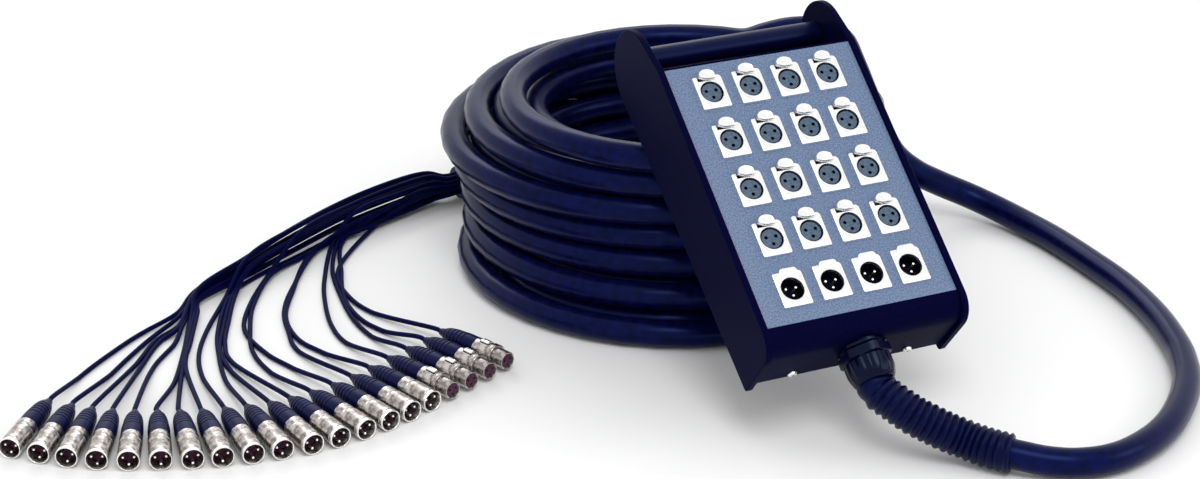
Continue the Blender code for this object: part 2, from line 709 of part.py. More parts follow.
def make_gland(frame, parts, materials, scratch):
    at = gland_stations()
    nut = hex_mesh("gland_locknut", LOCKNUT_FLATS, LOCKNUT_THICK, THREAD_RADIUS + GAP, scratch)
    place_on_gland("gland_locknut", nut, at["nut_top"], frame, parts, materials["plastic"])
    thread_length = at["thread_end"] - at["thread_top"]
    body = cone_mesh("gland_body", 16, THREAD_RADIUS, THREAD_RADIUS, thread_length)
    collar = hex_mesh("collar", GLAND_FLATS, GLAND_HEX_THICK, 0, scratch)
    collar.transform(Matrix.Translation((0, 0, at["hex_top"] - at["thread_top"])))
    body = combine(body, collar, "UNION", scratch)
    drop = Matrix.Translation((0, 0, -1 * MM))
    bore = cone_mesh("bore", 12, GLAND_BORE, GLAND_BORE, thread_length + 2 * MM, drop)
    body = combine(body, bore, "DIFFERENCE", scratch)
    place_on_gland("gland_body", body, at["thread_top"], frame, parts, materials["plastic"])
    inner = THREAD_RADIUS + GAP
    length = DOME_LENGTH
    seat = THREAD_OUTSIDE + GAP
    profile = [
        (inner, 0), (DOME_RADIUS, 0), (DOME_RADIUS, 0.45 * length), (DOME_RADIUS - 1.5 * MM, 0.75 * length),
        (DOME_MOUTH, length), (GLAND_BORE, length), (GLAND_BORE, seat), (inner, seat), (inner, 0),
    ]
    dome = turned_mesh("gland_dome_nut", profile, 20, scratch)
    dome_object = place_on_gland("gland_dome_nut", dome, at["dome_top"], frame, parts, materials["plastic"])
    shade(dome_object)


def make_screws(frame, parts, materials, scratch):
    under = CASE_BOTTOM + GAP
    profile = [
        (0, 0), (SCREW_SHANK, 0), (SCREW_SHANK, SCREW_LENGTH), (SCREW_HEAD, SCREW_LENGTH),
        (SCREW_HEAD * 0.8, SCREW_LENGTH + SCREW_HEAD_TALL), (0, SCREW_LENGTH + SCREW_HEAD_TALL),
    ]
    mesh = turned_mesh("bottom_screw", profile, 12, scratch)
    for name, side in (("bottom_screw_left", -1), ("bottom_screw_right", 1)):
        screw = bpy.data.objects.new(name, mesh)
        at = (side * SCREW_SPREAD, -under + SCREW_LENGTH, -SCREW_BACK)
        place(screw, parts, materials["nickel"], frame, at, (math.pi / 2, 0, 0))
        shade(screw)


def gland_point(frame, down):
    """World place on the gland's axis, at a distance down the panel."""
    return frame.matrix_world @ Vector((0, -down, -GLAND_BACK))


def gland_heading(frame):
    """World direction out of the gland."""
    return (frame.matrix_world.to_3x3() @ Vector((0, -1, 0))).normalized()


def free_route(frame):
    """Smooth route of the cable from the gland's mouth to the coil's top turn."""
    start = gland_point(frame, gland_stations()["dome_end"] + GAP)
    points = [start, start + gland_heading(frame) * HOSE_STRAIGHT]
    points += [vector_mm(p) for p in HOSE_ROUTE]
    points += [vector_mm(p) for p in LOOP_ROUTE]
    end, back = top_turn_end()
    points.append(end - back * 2 * CABLE_RADIUS)
    return smooth_route(points, 400)


def split_route(route, length):
    """The route's points up to a length along it, and those after it."""
    walked = 0.0
    for index in range(1, len(route)):
        step = (route[index] - route[index - 1]).length
        if walked + step >= length:
            cut = route[index - 1].lerp(route[index], (length - walked) / step)
            return route[:index] + [cut], [cut] + route[index:]
        walked += step
    return route, route[-1:]


def make_hose(frame, route, parts, materials, scratch):
    """Ribbed strain relief: two rings a rib, of unlike radius, round the cable's bore."""
    rings = smooth_route(route, RIB_COUNT * 2)
    rings[1] = rings[0] + gland_heading(frame) * (rings[1] - rings[0]).length
    radii = [HOSE_RADIUS if index % 2 else HOSE_VALLEY for index in range(len(rings))]
    hose = solid_mesh(tube_object("strain_relief_hose", rings, HOSE_RADIUS, 2, radii), scratch)
    spine = hose_spine(frame, route)
    spine.insert(0, spine[0] - gland_heading(frame) * 2 * MM)
    spine.append(spine[-1] + (spine[-1] - spine[-2]).normalized() * 2 * MM)
    bore = solid_mesh(tube_object("bore", spine, HOSE_BORE, 2), scratch)
    hose = combine(hose, bore, "DIFFERENCE", scratch)
    place(bpy.data.objects.new("strain_relief_hose", hose), parts, materials["rubber"])


def hose_spine(frame, route):
    """Centre line that the cable and the hose's bore share."""
    spine = smooth_route(route, HOSE_SPINE_COUNT)
    spine[1] = spine[0] + gland_heading(frame) * (spine[1] - spine[0]).length
    return spine


def make_loop(frame, hose_route, route, parts, materials):
    """The free cable, from inside the case through gland and hose to the coil."""
    points = [gland_point(frame, gland_stations()["thread_top"])]
    points += hose_spine(frame, hose_route)
    beyond = split_route(route, 3 * CABLE_RADIUS)[1]
    points += smooth_route(beyond, LOOP_COUNT)
    points.append(top_turn_end()[0])
    place(tube_object("cable_loop", points, CABLE_RADIUS, 2), parts, materials["rubber"])


# Multicore coil. The outer layer winds round a plain core.

def layer_height(level):
    return CABLE_RADIUS + FLOOR_CLEAR + LAYER_STEP * level


def back_plane():
    """A point and the outward normal of the case's back, in the world's YZ plane."""
    depth = back_depth(0) - BACK_INSET
    along = Vector((math.sin(RECLINE), math.cos(RECLINE)))
    out = Vector((-math.cos(RECLINE), math.sin(RECLINE)))
    point = Vector((BOX_Y, box_height())) - out * depth
    lean = back_lean()
    normal = along * math.sin(lean) - out * math.cos(lean)
    return point, normal


def top_turn():
    """Centre and radius of the top turn, whose front touches the back of the box."""
    point, normal = back_plane()
    height = layer_height(len(LAYERS))
    touch = CABLE_RADIUS + GAP
    front = point.x + (touch - (height - point.y) * normal.y) / normal.x
    return TOP_TURN_X, front + TOP_TURN_RADIUS, TOP_TURN_RADIUS


def ease(share):
    share = min(max(share, 0), 1)
    return share * share * (3 - 2 * share)


def level_at(angle):
    """Layer number, whole on the level stretches, rising through each climb."""
    passed = CLIMB_FROM - 360 - angle
    turn = 360 - CLIMB_CREEP
    whole = math.floor(passed / turn)
    if whole < 0:
        return 0.0
    share = ease((passed - whole * turn) / CLIMB_SPAN)
    return min(whole + share, float(len(LAYERS)))


def coil_point(angle):
    """Centre line of the winding at an angle in degrees, which falls as it winds."""
    turns = LAYERS + (top_turn(),)
    level = level_at(angle)
    low = min(int(level), len(LAYERS) - 1)
    x, y, radius = [a + (b - a) * (level - low) for a, b in zip(turns[low], turns[low + 1])]
    climbed = CLIMB_FROM - CLIMB_SPAN
    radius += ENTRY_OUT * (1 - ease((climbed - angle) / (climbed - ENTRY_MERGED)))
    turn = math.radians(angle)
    return Vector((x + radius * math.cos(turn), y + radius * math.sin(turn), layer_height(level)))


def coil_points():
    last = LEAVE_AT - 360 * len(LAYERS)
    steps = round((ENTRY_FROM - last) / 360 * TURN_COUNT)
    return [coil_point(ENTRY_FROM + (last - ENTRY_FROM) * step / steps) for step in range(steps + 1)]


def top_turn_end():
    """The place just past the winding's upper end, and the direction back into the winding."""
    points = coil_points()
    back = (points[-2] - points[-1]).normalized()
    return points[-1] - back * GAP, back


def segment_gap(points, skip):
    """Least distance between the centre lines of stretches at least skip points apart."""
    least = 1.0
    for i in range(len(points)):
        for j in range(i + skip, len(points) - 1):
            a, b = points[j], points[j + 1]
            run = b - a
            share = min(max((points[i] - a).dot(run) / run.length_squared, 0), 1)
            least = min(least, (points[i] - a.lerp(b, share)).length)
    return least


def make_coil(parts, materials):
    points = coil_points()
    points = boot_lead() + points
    coil = tube_object("cable_coil", points, CABLE_RADIUS, 1)
    place(coil, parts, materials["rubber"])
    print("coil: least gap to itself", round((segment_gap(points, 6) - 2 * CABLE_RADIUS) / MM, 2), "mm")


def boot_lead():
    """The straight start of the winding, square to the breakout boot."""
    heading = Vector((math.cos(BOOT_TURN), math.sin(BOOT_TURN), 0))
    start = Vector((BOOT_X, BOOT_Y, layer_height(0))) - heading * GAP
    square = start - heading * 2 * CABLE_RADIUS
    joined = coil_point(ENTRY_FROM)
    bend = (square + joined) / 2 + Vector((0, 3 * MM, 0))
    return [start, square, bend]


def core_reach(points, height):
    """Largest radius the core may have up to a height, inside the turns that reach below it."""
    apart = [
        math.hypot(p.x - CORE_X, p.y - CORE_Y) for p in points if p.z - CABLE_RADIUS < height
    ]
    return min(apart) * math.cos(math.pi / TURN_COUNT) - CABLE_RADIUS - GAP


def make_core(parts, materials, scratch):
    """Plain ring for the inner layers, inside every turn of the outer one."""
    points = coil_points()
    top = layer_height(len(LAYERS)) - CABLE_RADIUS - GAP
    step = layer_height(len(LAYERS) - 1) - CABLE_RADIUS - GAP
    low_outer = core_reach(points, step)
    top_outer = core_reach(points, top)
    profile = [
        (CORE_INNER, top), (top_outer, top), (top_outer, step), (low_outer, step), (low_outer, 0),
        (CORE_INNER, 0), (CORE_INNER, top),
    ]
    core = bpy.data.objects.new("coil_core", turned_mesh("coil_core", profile, CORE_SIDES, scratch))
    place(core, parts, materials["rubber"], None, (CORE_X, CORE_Y, 0))


# Fan-out

def make_breakout(parts, materials, scratch):
    """Tapered boot where the multicore becomes the bundle of tails."""
    profile = [
        (0, BOOT_LENGTH), (TRUNK_RADIUS, BOOT_LENGTH), (BOOT_RADIUS, 0.7 * BOOT_LENGTH),
        (BOOT_RADIUS, 0.2 * BOOT_LENGTH), (CABLE_RADIUS, 0), (0, 0),
    ]
    mesh = turned_mesh("fan_breakout_boot", profile, 16, scratch)
    boot = bpy.data.objects.new("fan_breakout_boot", mesh)
    height = BOOT_RADIUS + FLOOR_CLEAR
    place(boot, parts, materials["plastic"], None, (BOOT_X, BOOT_Y, height), (0, math.pi / 2, BOOT_TURN))
    shade(boot)


def plug_axis(index):
    """Mouth, entry and heading of a plug on the floor."""
    x, y, degrees = PLUG_PLACES[index]
    turn = math.radians(degrees)
    heading = Vector((math.cos(turn), math.sin(turn), 0))
    widest = PLUG_RADIUS if index < MALE_PLUGS else RING_RADIUS
    mouth = Vector((x * MM, y * MM, widest + FLOOR_CLEAR))
    return mouth, mouth - heading * PLUG_LENGTH, heading


def tail_points(index):
    mouth, entry, heading = plug_axis(index)
    route = TAIL_ROUTES[index]
    low = TAIL_RADIUS + FLOOR_CLEAR
    points = [Vector((x * MM, y * MM, low)) for x, y in route]
    points[0].z = 2.4 * low
    points = points[:-1]
    points.append(entry - heading * (5 * TAIL_RADIUS + GAP))
    smooth = smooth_route(points, TAIL_COUNT)
    for point in smooth:
        point.z = max(point.z, low)
    return smooth + [entry - heading * GAP]


def make_fan(parts, materials, scratch):
    """The bundle and its 20 tails, joined where the tails leave the bundle."""
    boot_heading = Vector((math.cos(BOOT_TURN), math.sin(BOOT_TURN), 0))
    start = Vector((BOOT_X, BOOT_Y, BOOT_RADIUS + FLOOR_CLEAR)) + boot_heading * (BOOT_LENGTH + GAP)
    stations = [start, start + boot_heading * TRUNK_RADIUS] + [vector_mm(p) for p in TRUNK_ROUTE]
    radii = [TRUNK_RADIUS, TRUNK_RADIUS] + [p[3] * MM for p in TRUNK_ROUTE]
    fan = solid_mesh(tube_object("fan_tails", stations, TRUNK_RADIUS, 2, radii), scratch)
    for index in range(len(PLUG_PLACES)):
        tail = solid_mesh(tube_object("tail", tail_points(index), TAIL_RADIUS, 2), scratch)
        fan = combine(fan, tail, "UNION", scratch)
    place(bpy.data.objects.new("fan_tails", fan), parts, materials["rubber"])


# Cable plugs. Local +Z runs from the mouth to the cable's entry, local +Y is up.

def boot_profile():
    return [
        (0, PLUG_LENGTH), (BOOT_END, PLUG_LENGTH), (BOOT_BASE, SHELL_LENGTH + SHOULDER), (PLUG_RADIUS, SHELL_LENGTH),
    ]


def male_plug_mesh(scratch):
    profile = boot_profile() + [
        (PLUG_RADIUS, 0), (CUP_RADIUS, 0), (CUP_RADIUS, CUP_DEPTH), (0, CUP_DEPTH),
    ]
    body = turned_mesh("male_plug", profile, PLUG_SIDES, scratch)
    for x, y in pin_places():
        root = Matrix.Translation((x, y, CUP_DEPTH - PIN_LENGTH))
        pin = cone_mesh("pin", SMALL_SIDES, PIN_RADIUS * 0.8, PIN_RADIUS, PIN_LENGTH + BURIED, root)
        body = combine(body, pin, "UNION", scratch)
    return body


def female_plug_mesh(scratch):
    ring_end = NOSE_LENGTH + RING_LENGTH
    profile = boot_profile() + [
        (PLUG_RADIUS, ring_end), (RING_RADIUS, ring_end), (RING_RADIUS, NOSE_LENGTH), (NOSE_RADIUS, NOSE_LENGTH),
        (NOSE_RADIUS, 0), (NOSE_HOLE, 0), (NOSE_HOLE, 2 * MM), (0, 2 * MM),
    ]
    body = turned_mesh("female_plug", profile, PLUG_SIDES, scratch)
    for x, y in pin_places():
        root = Matrix.Translation((x * 0.8, y * 0.8, 1 * MM))
        hole = cone_mesh("contact", SMALL_SIDES, PIN_RADIUS, PIN_RADIUS, CONTACT_DEPTH, root)
        body = combine(body, hole, "DIFFERENCE", scratch)
    half = BUTTON_WIDTH / 2 + GAP
    floor = BUTTON_SUNK - BUTTON_TRAVEL - GAP
    pocket = box_mesh(
        "pocket", (-half, floor, BUTTON_FROM - GAP), (half, 2 * PLUG_RADIUS, BUTTON_FROM + BUTTON_LENGTH + GAP),
    )
    return combine(body, pocket, "DIFFERENCE", scratch)


def make_plugs(parts, materials, scratch):
    male = male_plug_mesh(scratch)
    female = female_plug_mesh(scratch)
    for index in range(len(PLUG_PLACES)):
        mouth, entry, heading = plug_axis(index)
        turn = math.atan2(heading.y, heading.x)
        is_male = index < MALE_PLUGS
        number = index + 1 if is_male else index + 1 - MALE_PLUGS
        name = f"male_plug_{number:02d}" if is_male else f"female_plug_{number}"
        plug = bpy.data.objects.new(name, male if is_male else female)
        place(plug, parts, materials["nickel"], None, mouth, (math.pi / 2, 0, turn - math.pi / 2))
        if not is_male:
            half = BUTTON_WIDTH / 2
            mesh = box_mesh(
                "button", (-half, BUTTON_SUNK, BUTTON_FROM),
                (half, BUTTON_SUNK + BUTTON_TALL, BUTTON_FROM + BUTTON_LENGTH),
            )
            button = bpy.data.objects.new(f"plug_latch_{number}", mesh)
            place(button, parts, materials["nickel"], plug)


def main():
    clear_scene()
    parts = make_collection("stage_box_snake")
    cutters = make_collection("cutters")
    materials = make_materials()
    frame = make_box_frame(parts)
    make_cheeks(frame, parts, materials, cutters)
    make_case(frame, parts, materials, cutters)
    make_handle(frame, parts, materials)
    make_panel(frame, parts, materials, cutters)
    make_input_latches(frame, parts, materials, cutters)
    make_harness(frame, parts, materials, cutters)
    make_gland(frame, parts, materials, cutters)
    make_screws(frame, parts, materials, cutters)
    hose_route, loop_route = split_route(free_route(frame), RIB_COUNT * RIB_PITCH)
    make_hose(frame, hose_route, parts, materials, cutters)
    make_loop(frame, hose_route, loop_route, parts, materials)
    make_coil(parts, materials)
    make_core(parts, materials, cutters)
    make_breakout(parts, materials, cutters)
    make_fan(parts, materials, cutters)
    make_plugs(parts, materials, cutters)


main()
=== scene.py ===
"""Looks of the stage-box multicore snake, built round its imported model.

Metres, in the row frame: +X along the box's width, -Y the side the jack panel faces, +Z up.
"""
import json
import math

import bmesh
import bpy
from mathutils import Matrix, Vector

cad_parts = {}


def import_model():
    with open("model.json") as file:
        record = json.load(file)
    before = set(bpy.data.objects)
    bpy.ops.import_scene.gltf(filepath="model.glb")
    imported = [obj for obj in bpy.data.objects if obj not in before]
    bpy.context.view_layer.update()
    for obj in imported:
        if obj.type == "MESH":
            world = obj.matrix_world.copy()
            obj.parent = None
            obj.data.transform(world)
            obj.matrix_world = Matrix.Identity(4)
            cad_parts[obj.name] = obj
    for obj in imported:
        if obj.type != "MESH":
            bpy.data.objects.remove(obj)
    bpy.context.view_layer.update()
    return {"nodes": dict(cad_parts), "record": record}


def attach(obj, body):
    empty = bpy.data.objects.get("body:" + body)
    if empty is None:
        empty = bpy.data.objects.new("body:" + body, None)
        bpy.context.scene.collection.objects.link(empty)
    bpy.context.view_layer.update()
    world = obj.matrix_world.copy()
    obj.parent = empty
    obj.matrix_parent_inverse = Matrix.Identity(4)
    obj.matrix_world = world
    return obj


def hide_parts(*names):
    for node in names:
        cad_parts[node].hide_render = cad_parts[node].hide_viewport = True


MM = 0.001
ROOT = "snake"
QUARTER_X = Matrix.Rotation(math.pi / 2, 4, "X")
QUARTER_Y = Matrix.Rotation(math.pi / 2, 4, "Y")
FINE_STEPS = 12  # between two points of a route
CORNER_STEPS = 6
FOLD_STEPS = 10

# Camera, as measured in the photograph
CAMERA_AT = Vector((-0.978, -1.701, 1.028))
CAMERA_AZIMUTH = math.radians(-24.6)
CAMERA_PITCH = math.radians(24.3)
LENS_MM = 78
SENSOR_MM = 36
WORLD_LIGHT = 0.8
FLOOR_DROP = 0.5 * MM

# Finishes
GRAIN_DEPTH = 0.1 * MM
NICKEL_ROUGHNESS = (0.2, 0.36)

# Stage box, as in the part
RECLINE = math.radians(51.5)
GAP = 0.3 * MM
BOX_Y = 20.9 * MM
BOX_LIFT = 48.9 * MM
PANEL_WIDTH = 175 * MM
PANEL_HEIGHT = 244.5 * MM
PANEL_THICK = 2 * MM
PANEL_CORNER = 0.8 * MM
PANEL_EDGE = 0.2 * MM
HOLE_PLAY = 0.2 * MM
SHEET = 1.6 * MM
CHEEK_BOTTOM = 146 * MM
DEPTH_BOTTOM = 66 * MM
DEPTH_TOP = 80 * MM
CHEEK_THICK = 6 * MM
CHEEK_PROUD = 2 * MM
CHEEK_CORNER = 21 * MM
CHEEK_HEEL = 3 * MM
CHEEK_EDGE = 1 * MM
LOBE_RADIUS = 37.5 * MM
LOBE_UP = 148 * MM
LOBE_BACK = 43 * MM
LOBE_FROM = 15
BACK_INSET = 1.5 * MM
CASE_BOTTOM = 142.5 * MM
CASE_CORNER = 6 * MM
CASE_TOP = PANEL_HEIGHT / 2 + GAP + SHEET
HANDLE_RADIUS = 10.5 * MM
HANDLE_EDGE = 0.4 * MM
HANDLE_UP = 159.95 * MM
HANDLE_BACK = 44 * MM
COLUMN_PITCH = 36.4 * MM
ROW_PITCH = 47 * MM
COLUMNS = 4
ROWS = 5
INPUT_ROWS = 4

# Panel jacks. Sections and profiles are in mm, from the flange's front or the mouth.
FLANGE_HALF = (13 * MM, 15.5 * MM)
FLANGE_CORNERS = (1.4 * MM, 1.4 * MM, 3.4 * MM, 1.4 * MM)
FLANGE_FRONT = 3.4 * MM
FLANGE_EDGE = 0.15 * MM
NOTCH_FROM = -8.8 * MM
NOTCH_TO = 7.3 * MM
NOTCH_LOW = 10.9 * MM
MOUTH = 10.1 * MM
MOUTH_DEPTH = 14 * MM
PIN_LENGTH = 11.5 * MM
BARREL_RADIUS = 12 * MM
BARREL_LENGTH = 20 * MM
BEZEL_FROM = 150
BEZEL_TO = 390
BEZEL_SECTION = ((0.3, -0.3), (0.3, 0.5), (0.6, 0.8), (1.9, 0.8), (2.2, 0.5), (2.2, -0.3))
LATCH_HALF = 7.4 * MM
LATCH_SHIFT = -0.3 * MM
LATCH_SHOULDER = 15.3 * MM
LATCH_TIP = 5 * MM
LATCH_FOOT = ((-7.4, 13.6), (-2, 11.6), (7.4, 10.95))
# Scale of the latch's outline at each height
LATCH_STEPS = ((1.0, 2.5), (1.0, 6.3), (0.94, 6.9), (0.8, 6.9), (0.74, 6.6))

# Gland and hose. The dome nut's profile is radius, height and depth of its grip ribs in mm.
GLAND_BACK = 28 * MM
THREAD_RADIUS = 15.4 * MM
GLAND_BORE = 13.1 * MM
SCREW_SPREAD = 54 * MM
SCREW_BACK = 54 * MM
SCREW_HOLE = 2.3 * MM
SCREW_PROFILE = ((1.4, -8), (2, -7), (2, 0), (4, 0), (4, 1), (3.4, 2), (2.2, 2.4))
THREAD_INSIDE = 10 * MM
HEX_POINTS = 48
DOME_END = CASE_BOTTOM + 33.9 * MM
HOSE_RIBS = 20
RIB_PITCH = 6.35 * MM
HOSE_RADIUS = 16.6 * MM
HOSE_VALLEY = 14.4 * MM
HOSE_BORE = 12.6 * MM
DOME_PROFILE = (
    (19.4, 0, 0), (19.8, 0.4, 0.5), (19.8, 9, 0.5), (19.2, 12.5, 0.35), (18.2, 16, 0.15), (17, 18.8, 0),
    (15.6, 19.9, 0),
)

# Multicore cable: the part's winding, with its angles and runs in degrees and each layer as the x and y
# of its centre and its radius. Hose and loop are laid along the photograph's, in mm.
CABLE_RADIUS = 12.4 * MM
CABLE_STEP = 6 * MM
LAYER_STEP = 26.2 * MM
FLOOR_CLEAR = 0.1 * MM
CLIMB_FROM = 39
CLIMB_SPAN = 75
CLIMB_CREEP = 3
LEVEL_RUN = 360 - CLIMB_SPAN
SHELL_SPAN = 60
FLOOR_RUN = 81
LAST_RUN = 255
ENTRY_OUT = 30 * MM
ENTRY_FROM = 84
ENTRY_MERGED = -81
LEAVE_AT = -310
LAYERS = (
    (20 * MM, 307 * MM, 194 * MM),
    (25 * MM, 322 * MM, 188 * MM),
    (27 * MM, 334 * MM, 187 * MM),
    (26 * MM, 339 * MM, 190 * MM),
    (20 * MM, 341 * MM, 195 * MM),
    (26 * MM, 325 * MM, 184 * MM),
)
TOP_TURN_X = 16 * MM
TOP_TURN_RADIUS = 155 * MM
SHELL_STEP = 26.5 * MM  # one shell of turns inside the next
OUTER_FROM = -2035  # angle at which the cable comes out to the outer shell
LEAVE_TOP = LEAVE_AT - 360 * len(LAYERS)
TURN_POINTS = 40
HOSE_ROUTE = (
    (9, -117, 47.5), (20, -126.5, 39), (32, -134.5, 32), (42, -141, 26.5), (52, -147.5, 22),
    (61, -156, 18.8), (69, -166, 17.3), (78, -177, 16.8),
)
LOOP_ROUTE = (
    (88, -186, 15.6), (102, -196, 13.4), (120, -206.5, 12.6), (142, -213, 12.6), (163, -213, 12.6),
    (186, -207, 12.6), (209, -197, 12.6), (232, -183, 12.6), (256, -163, 12.6), (276, -143, 12.6),
    (293, -122, 12.6), (308, -97, 12.6), (321, -70, 12.6), (339, -15, 12.6), (350, 46, 12.6),
    (352, 105, 12.6), (351, 163, 12.6), (345, 207, 13.5), (335, 239, 17), (317, 263, 25), (291, 279, 37),
    (271, 292, 48), (255, 307, 64), (246, 324, 90), (241, 343, 118), (236, 359, 143), (226, 366, 166),
    (202, 368, 179), (174, 373, 182), (152, 382, 177),
)

# Fan-out, in mm: the bundle as x, y, z and radius, the tails on the floor as x and y
BOOT_AT = Vector((-58 * MM, 529 * MM, 17.1 * MM))
BOOT_TURN = math.radians(190)
BOOT_LENGTH = 60 * MM
BOOT_RIBS = 5
TAIL_RADIUS = 2.15 * MM
TRUNK_ROUTE = (
    (-150, 519, 18.0, 18.5), (-188, 506, 18.5, 21), (-246, 482, 18.0, 21),
    (-307, 448, 16.5, 20), (-364, 416, 13.2, 16.5), (-418, 388, 9.6, 11.5), (-456, 361, 6.6, 7),
)
TAIL_ROUTES = (
    ((-448, 370), (-486, 350), (-522, 322), (-558, 289), (-580, 265)),
    ((-450, 361), (-478, 340), (-505, 313), (-532, 283), (-560, 252)),
    ((-452, 347), (-480, 329), (-507, 293), (-534, 256)),
    ((-454, 343), (-476, 327), (-500, 293), (-526, 247)),
    ((-448, 349), (-466, 317), (-498, 276), (-520, 239)),
    ((-440, 355), (-462, 301), (-486, 247), (-506, 215)),
    ((-436, 359), (-458, 307), (-477, 257), (-494, 215)),
    ((-432, 361), (-452, 315), (-470, 269), (-481, 217)),
    ((-400, 381), (-430, 335), (-452, 289), (-462, 245), (-465, 205)),
    ((-396, 383), (-424, 325), (-438, 275), (-446, 229), (-449, 203)),
    ((-392, 385), (-418, 329), (-434, 285), (-436, 243), (-432, 205)),
    ((-388, 387), (-410, 339), (-426, 297), (-430, 259), (-420, 221)),
    ((-346, 413), (-378, 365), (-396, 319), (-408, 273), (-406, 229), (-397, 201)),
    ((-350, 411), (-384, 361), (-402, 315), (-398, 265), (-386, 229), (-378, 207)),
    ((-292, 445), (-334, 385), (-357, 341), (-367, 299), (-371, 257), (-363, 217)),
    ((-298, 441), (-338, 375), (-360, 327), (-364, 281), (-352, 245), (-342, 221)),
    ((-270, 457), (-302, 389), (-318, 341), (-328, 295), (-328, 257), (-321, 229)),
    ((-262, 461), (-288, 407), (-300, 351), (-306, 299), (-303, 259), (-299, 239)),
    ((-254, 465), (-284, 393), (-299, 341), (-300, 297), (-290, 265), (-283, 251)),
    ((-214, 483), (-262, 435), (-288, 393), (-294, 349), (-286, 305), (-268, 269)),
)

# Cable plugs: x and y of each mouth in mm and its heading in degrees. Profiles are in mm from the mouth.
PLUG_PLACES = (
    (-644, 175, -126), (-625, 157, -123), (-606, 141, -119), (-585, 127, -114),
    (-562, 115, -109), (-538, 105, -104), (-514, 96, -99), (-491, 89, -95),
    (-467, 84, -91), (-443, 81, -87), (-418, 79, -83), (-394, 81, -79),
    (-370, 85, -76), (-347, 91, -74.5), (-325, 99, -73), (-303, 109, -71),
    (-281, 119, -70), (-260, 129, -70), (-239, 139, -69.5), (-218, 150, -68),
)
MALE_PLUGS = 16
PLUG_RADIUS = 9.5 * MM
RING_RADIUS = 10.2 * MM
PLUG_LENGTH = 83 * MM
PLUG_SIDES = 40
SHELL_BACK = ((7.4, 37), (8.9, 37), (9.5, 36.4))
MALE_SHELL = SHELL_BACK + (
    (9.5, 27), (9, 26.5), (9, 25), (9.5, 24.5), (9.5, 4.6), (9.15, 4.2), (9.15, 3.4), (9.5, 3),
    (9.5, 0.5), (9.1, 0), (8.6, 0), (8.3, 0.4), (8.3, 14),
)
RIM_FROM = 9  # steps of the male shell that keep the bright nickel; its other steps take the copy with painted shade
RIM_TO = 14
FEMALE_SHELL = SHELL_BACK + (
    (9.5, 19), (9.9, 18.8), (10.2, 18.4), (10.2, 13.6), (9.9, 13.2), (8, 13), (8, 0.5), (7.6, 0),
    (6.9, 0), (6.7, 0.6),
)
MALE_DISC = ((8.2, 15.5), (8.2, 13.6), (7.6, 13.2))
FEMALE_DISC = ((6.6, 3), (6.6, 0.7), (6.2, 0.4))
PLUG_PIN = ((1.2, 14), (1.2, 3.4), (0.9, 2.7), (0.4, 2.4))
PLUG_HOLE = ((1.1, 0.8), (1.1, 0.35), (0.9, 0.34))
GRIP_START = ((7, 35), (9, 37.2), (9.2, 38.2))
GRIP_END = ((3.6, 81), (3.2, 83), (2.2, 83))
GRIP_BELL = ((36, 9.2), (50, 9.2), (58, 8.6), (66, 8.0), (72, 7.0), (76, 5.6), (79, 4.2), (83, 3.2))
GROOVES = (50, 78, 4.6)  # first, last and pitch
BUTTON_FROM = 21 * MM
BUTTON_TO = 31 * MM
BUTTON_HALF = 2.7 * MM
BUTTON_STEPS = ((0, 7.9), (0, 10.5), (0.3, 10.9), (0.7, 11.1))
BUTTON_GROOVES = (24, 26, 28)


# Materials

def new_material(name):
    made = bpy.data.materials.new(name)
    made.use_nodes = True
    return made, made.node_tree, made.node_tree.nodes["Principled BSDF"]


def set_inputs(node, values):
    for key, value in values.items():
        node.inputs[key].default_value = value
    return node


def noisy_colour(tree, shader, scale, detail, dark, light):
    """Colours the surface by a noise, from dark to light. Returns the noise."""
    coords = tree.nodes.new("ShaderNodeTexCoord")
    grain = set_inputs(tree.nodes.new("ShaderNodeTexNoise"), {"Scale": scale, "Detail": detail})
    tree.links.new(coords.outputs["Object"], grain.inputs["Vector"])
    ramp = tree.nodes.new("ShaderNodeValToRGB")
    for element, (at, colour) in zip(ramp.color_ramp.elements, (dark, light)):
        element.position = at
        element.color = (*colour, 1)
    tree.links.new(grain.outputs["Fac"], ramp.inputs["Fac"])
    tree.links.new(ramp.outputs["Color"], shader.inputs["Base Color"])
    return grain.outputs["Fac"]


def mottled(name, dark, light, roughness, scale=400, bump=0.2, sheen=None):
    """A finish whose colour and height vary with a fine noise. Sheen tints and dims its gloss."""
    made, tree, shader = new_material(name)
    grain = noisy_colour(tree, shader, scale, 3, (0.35, dark), (0.65, light))
    set_inputs(shader, {"Roughness": roughness})
    if sheen is not None:
        set_inputs(shader, {"Specular IOR Level": sheen[0], "Specular Tint": (*sheen[1], 1)})
    height = set_inputs(tree.nodes.new("ShaderNodeBump"), {"Strength": bump, "Distance": GRAIN_DEPTH})
    tree.links.new(grain, height.inputs["Height"])
    tree.links.new(height.outputs["Normal"], shader.inputs["Normal"])
    return made


def nickel_finish(name, dark, light, scale):
    """Plated metal with handling marks in its colour and gloss."""
    made, tree, shader = new_material(name)
    marks = noisy_colour(tree, shader, scale, 4, (0.38, dark), (0.62, light))
    low, high = NICKEL_ROUGHNESS
    gloss = set_inputs(tree.nodes.new("ShaderNodeMapRange"), {"To Min": low, "To Max": high})
    tree.links.new(marks, gloss.inputs["Value"])
    tree.links.new(gloss.outputs["Result"], shader.inputs["Roughness"])
    set_inputs(shader, {"Metallic": 1.0})
    return made


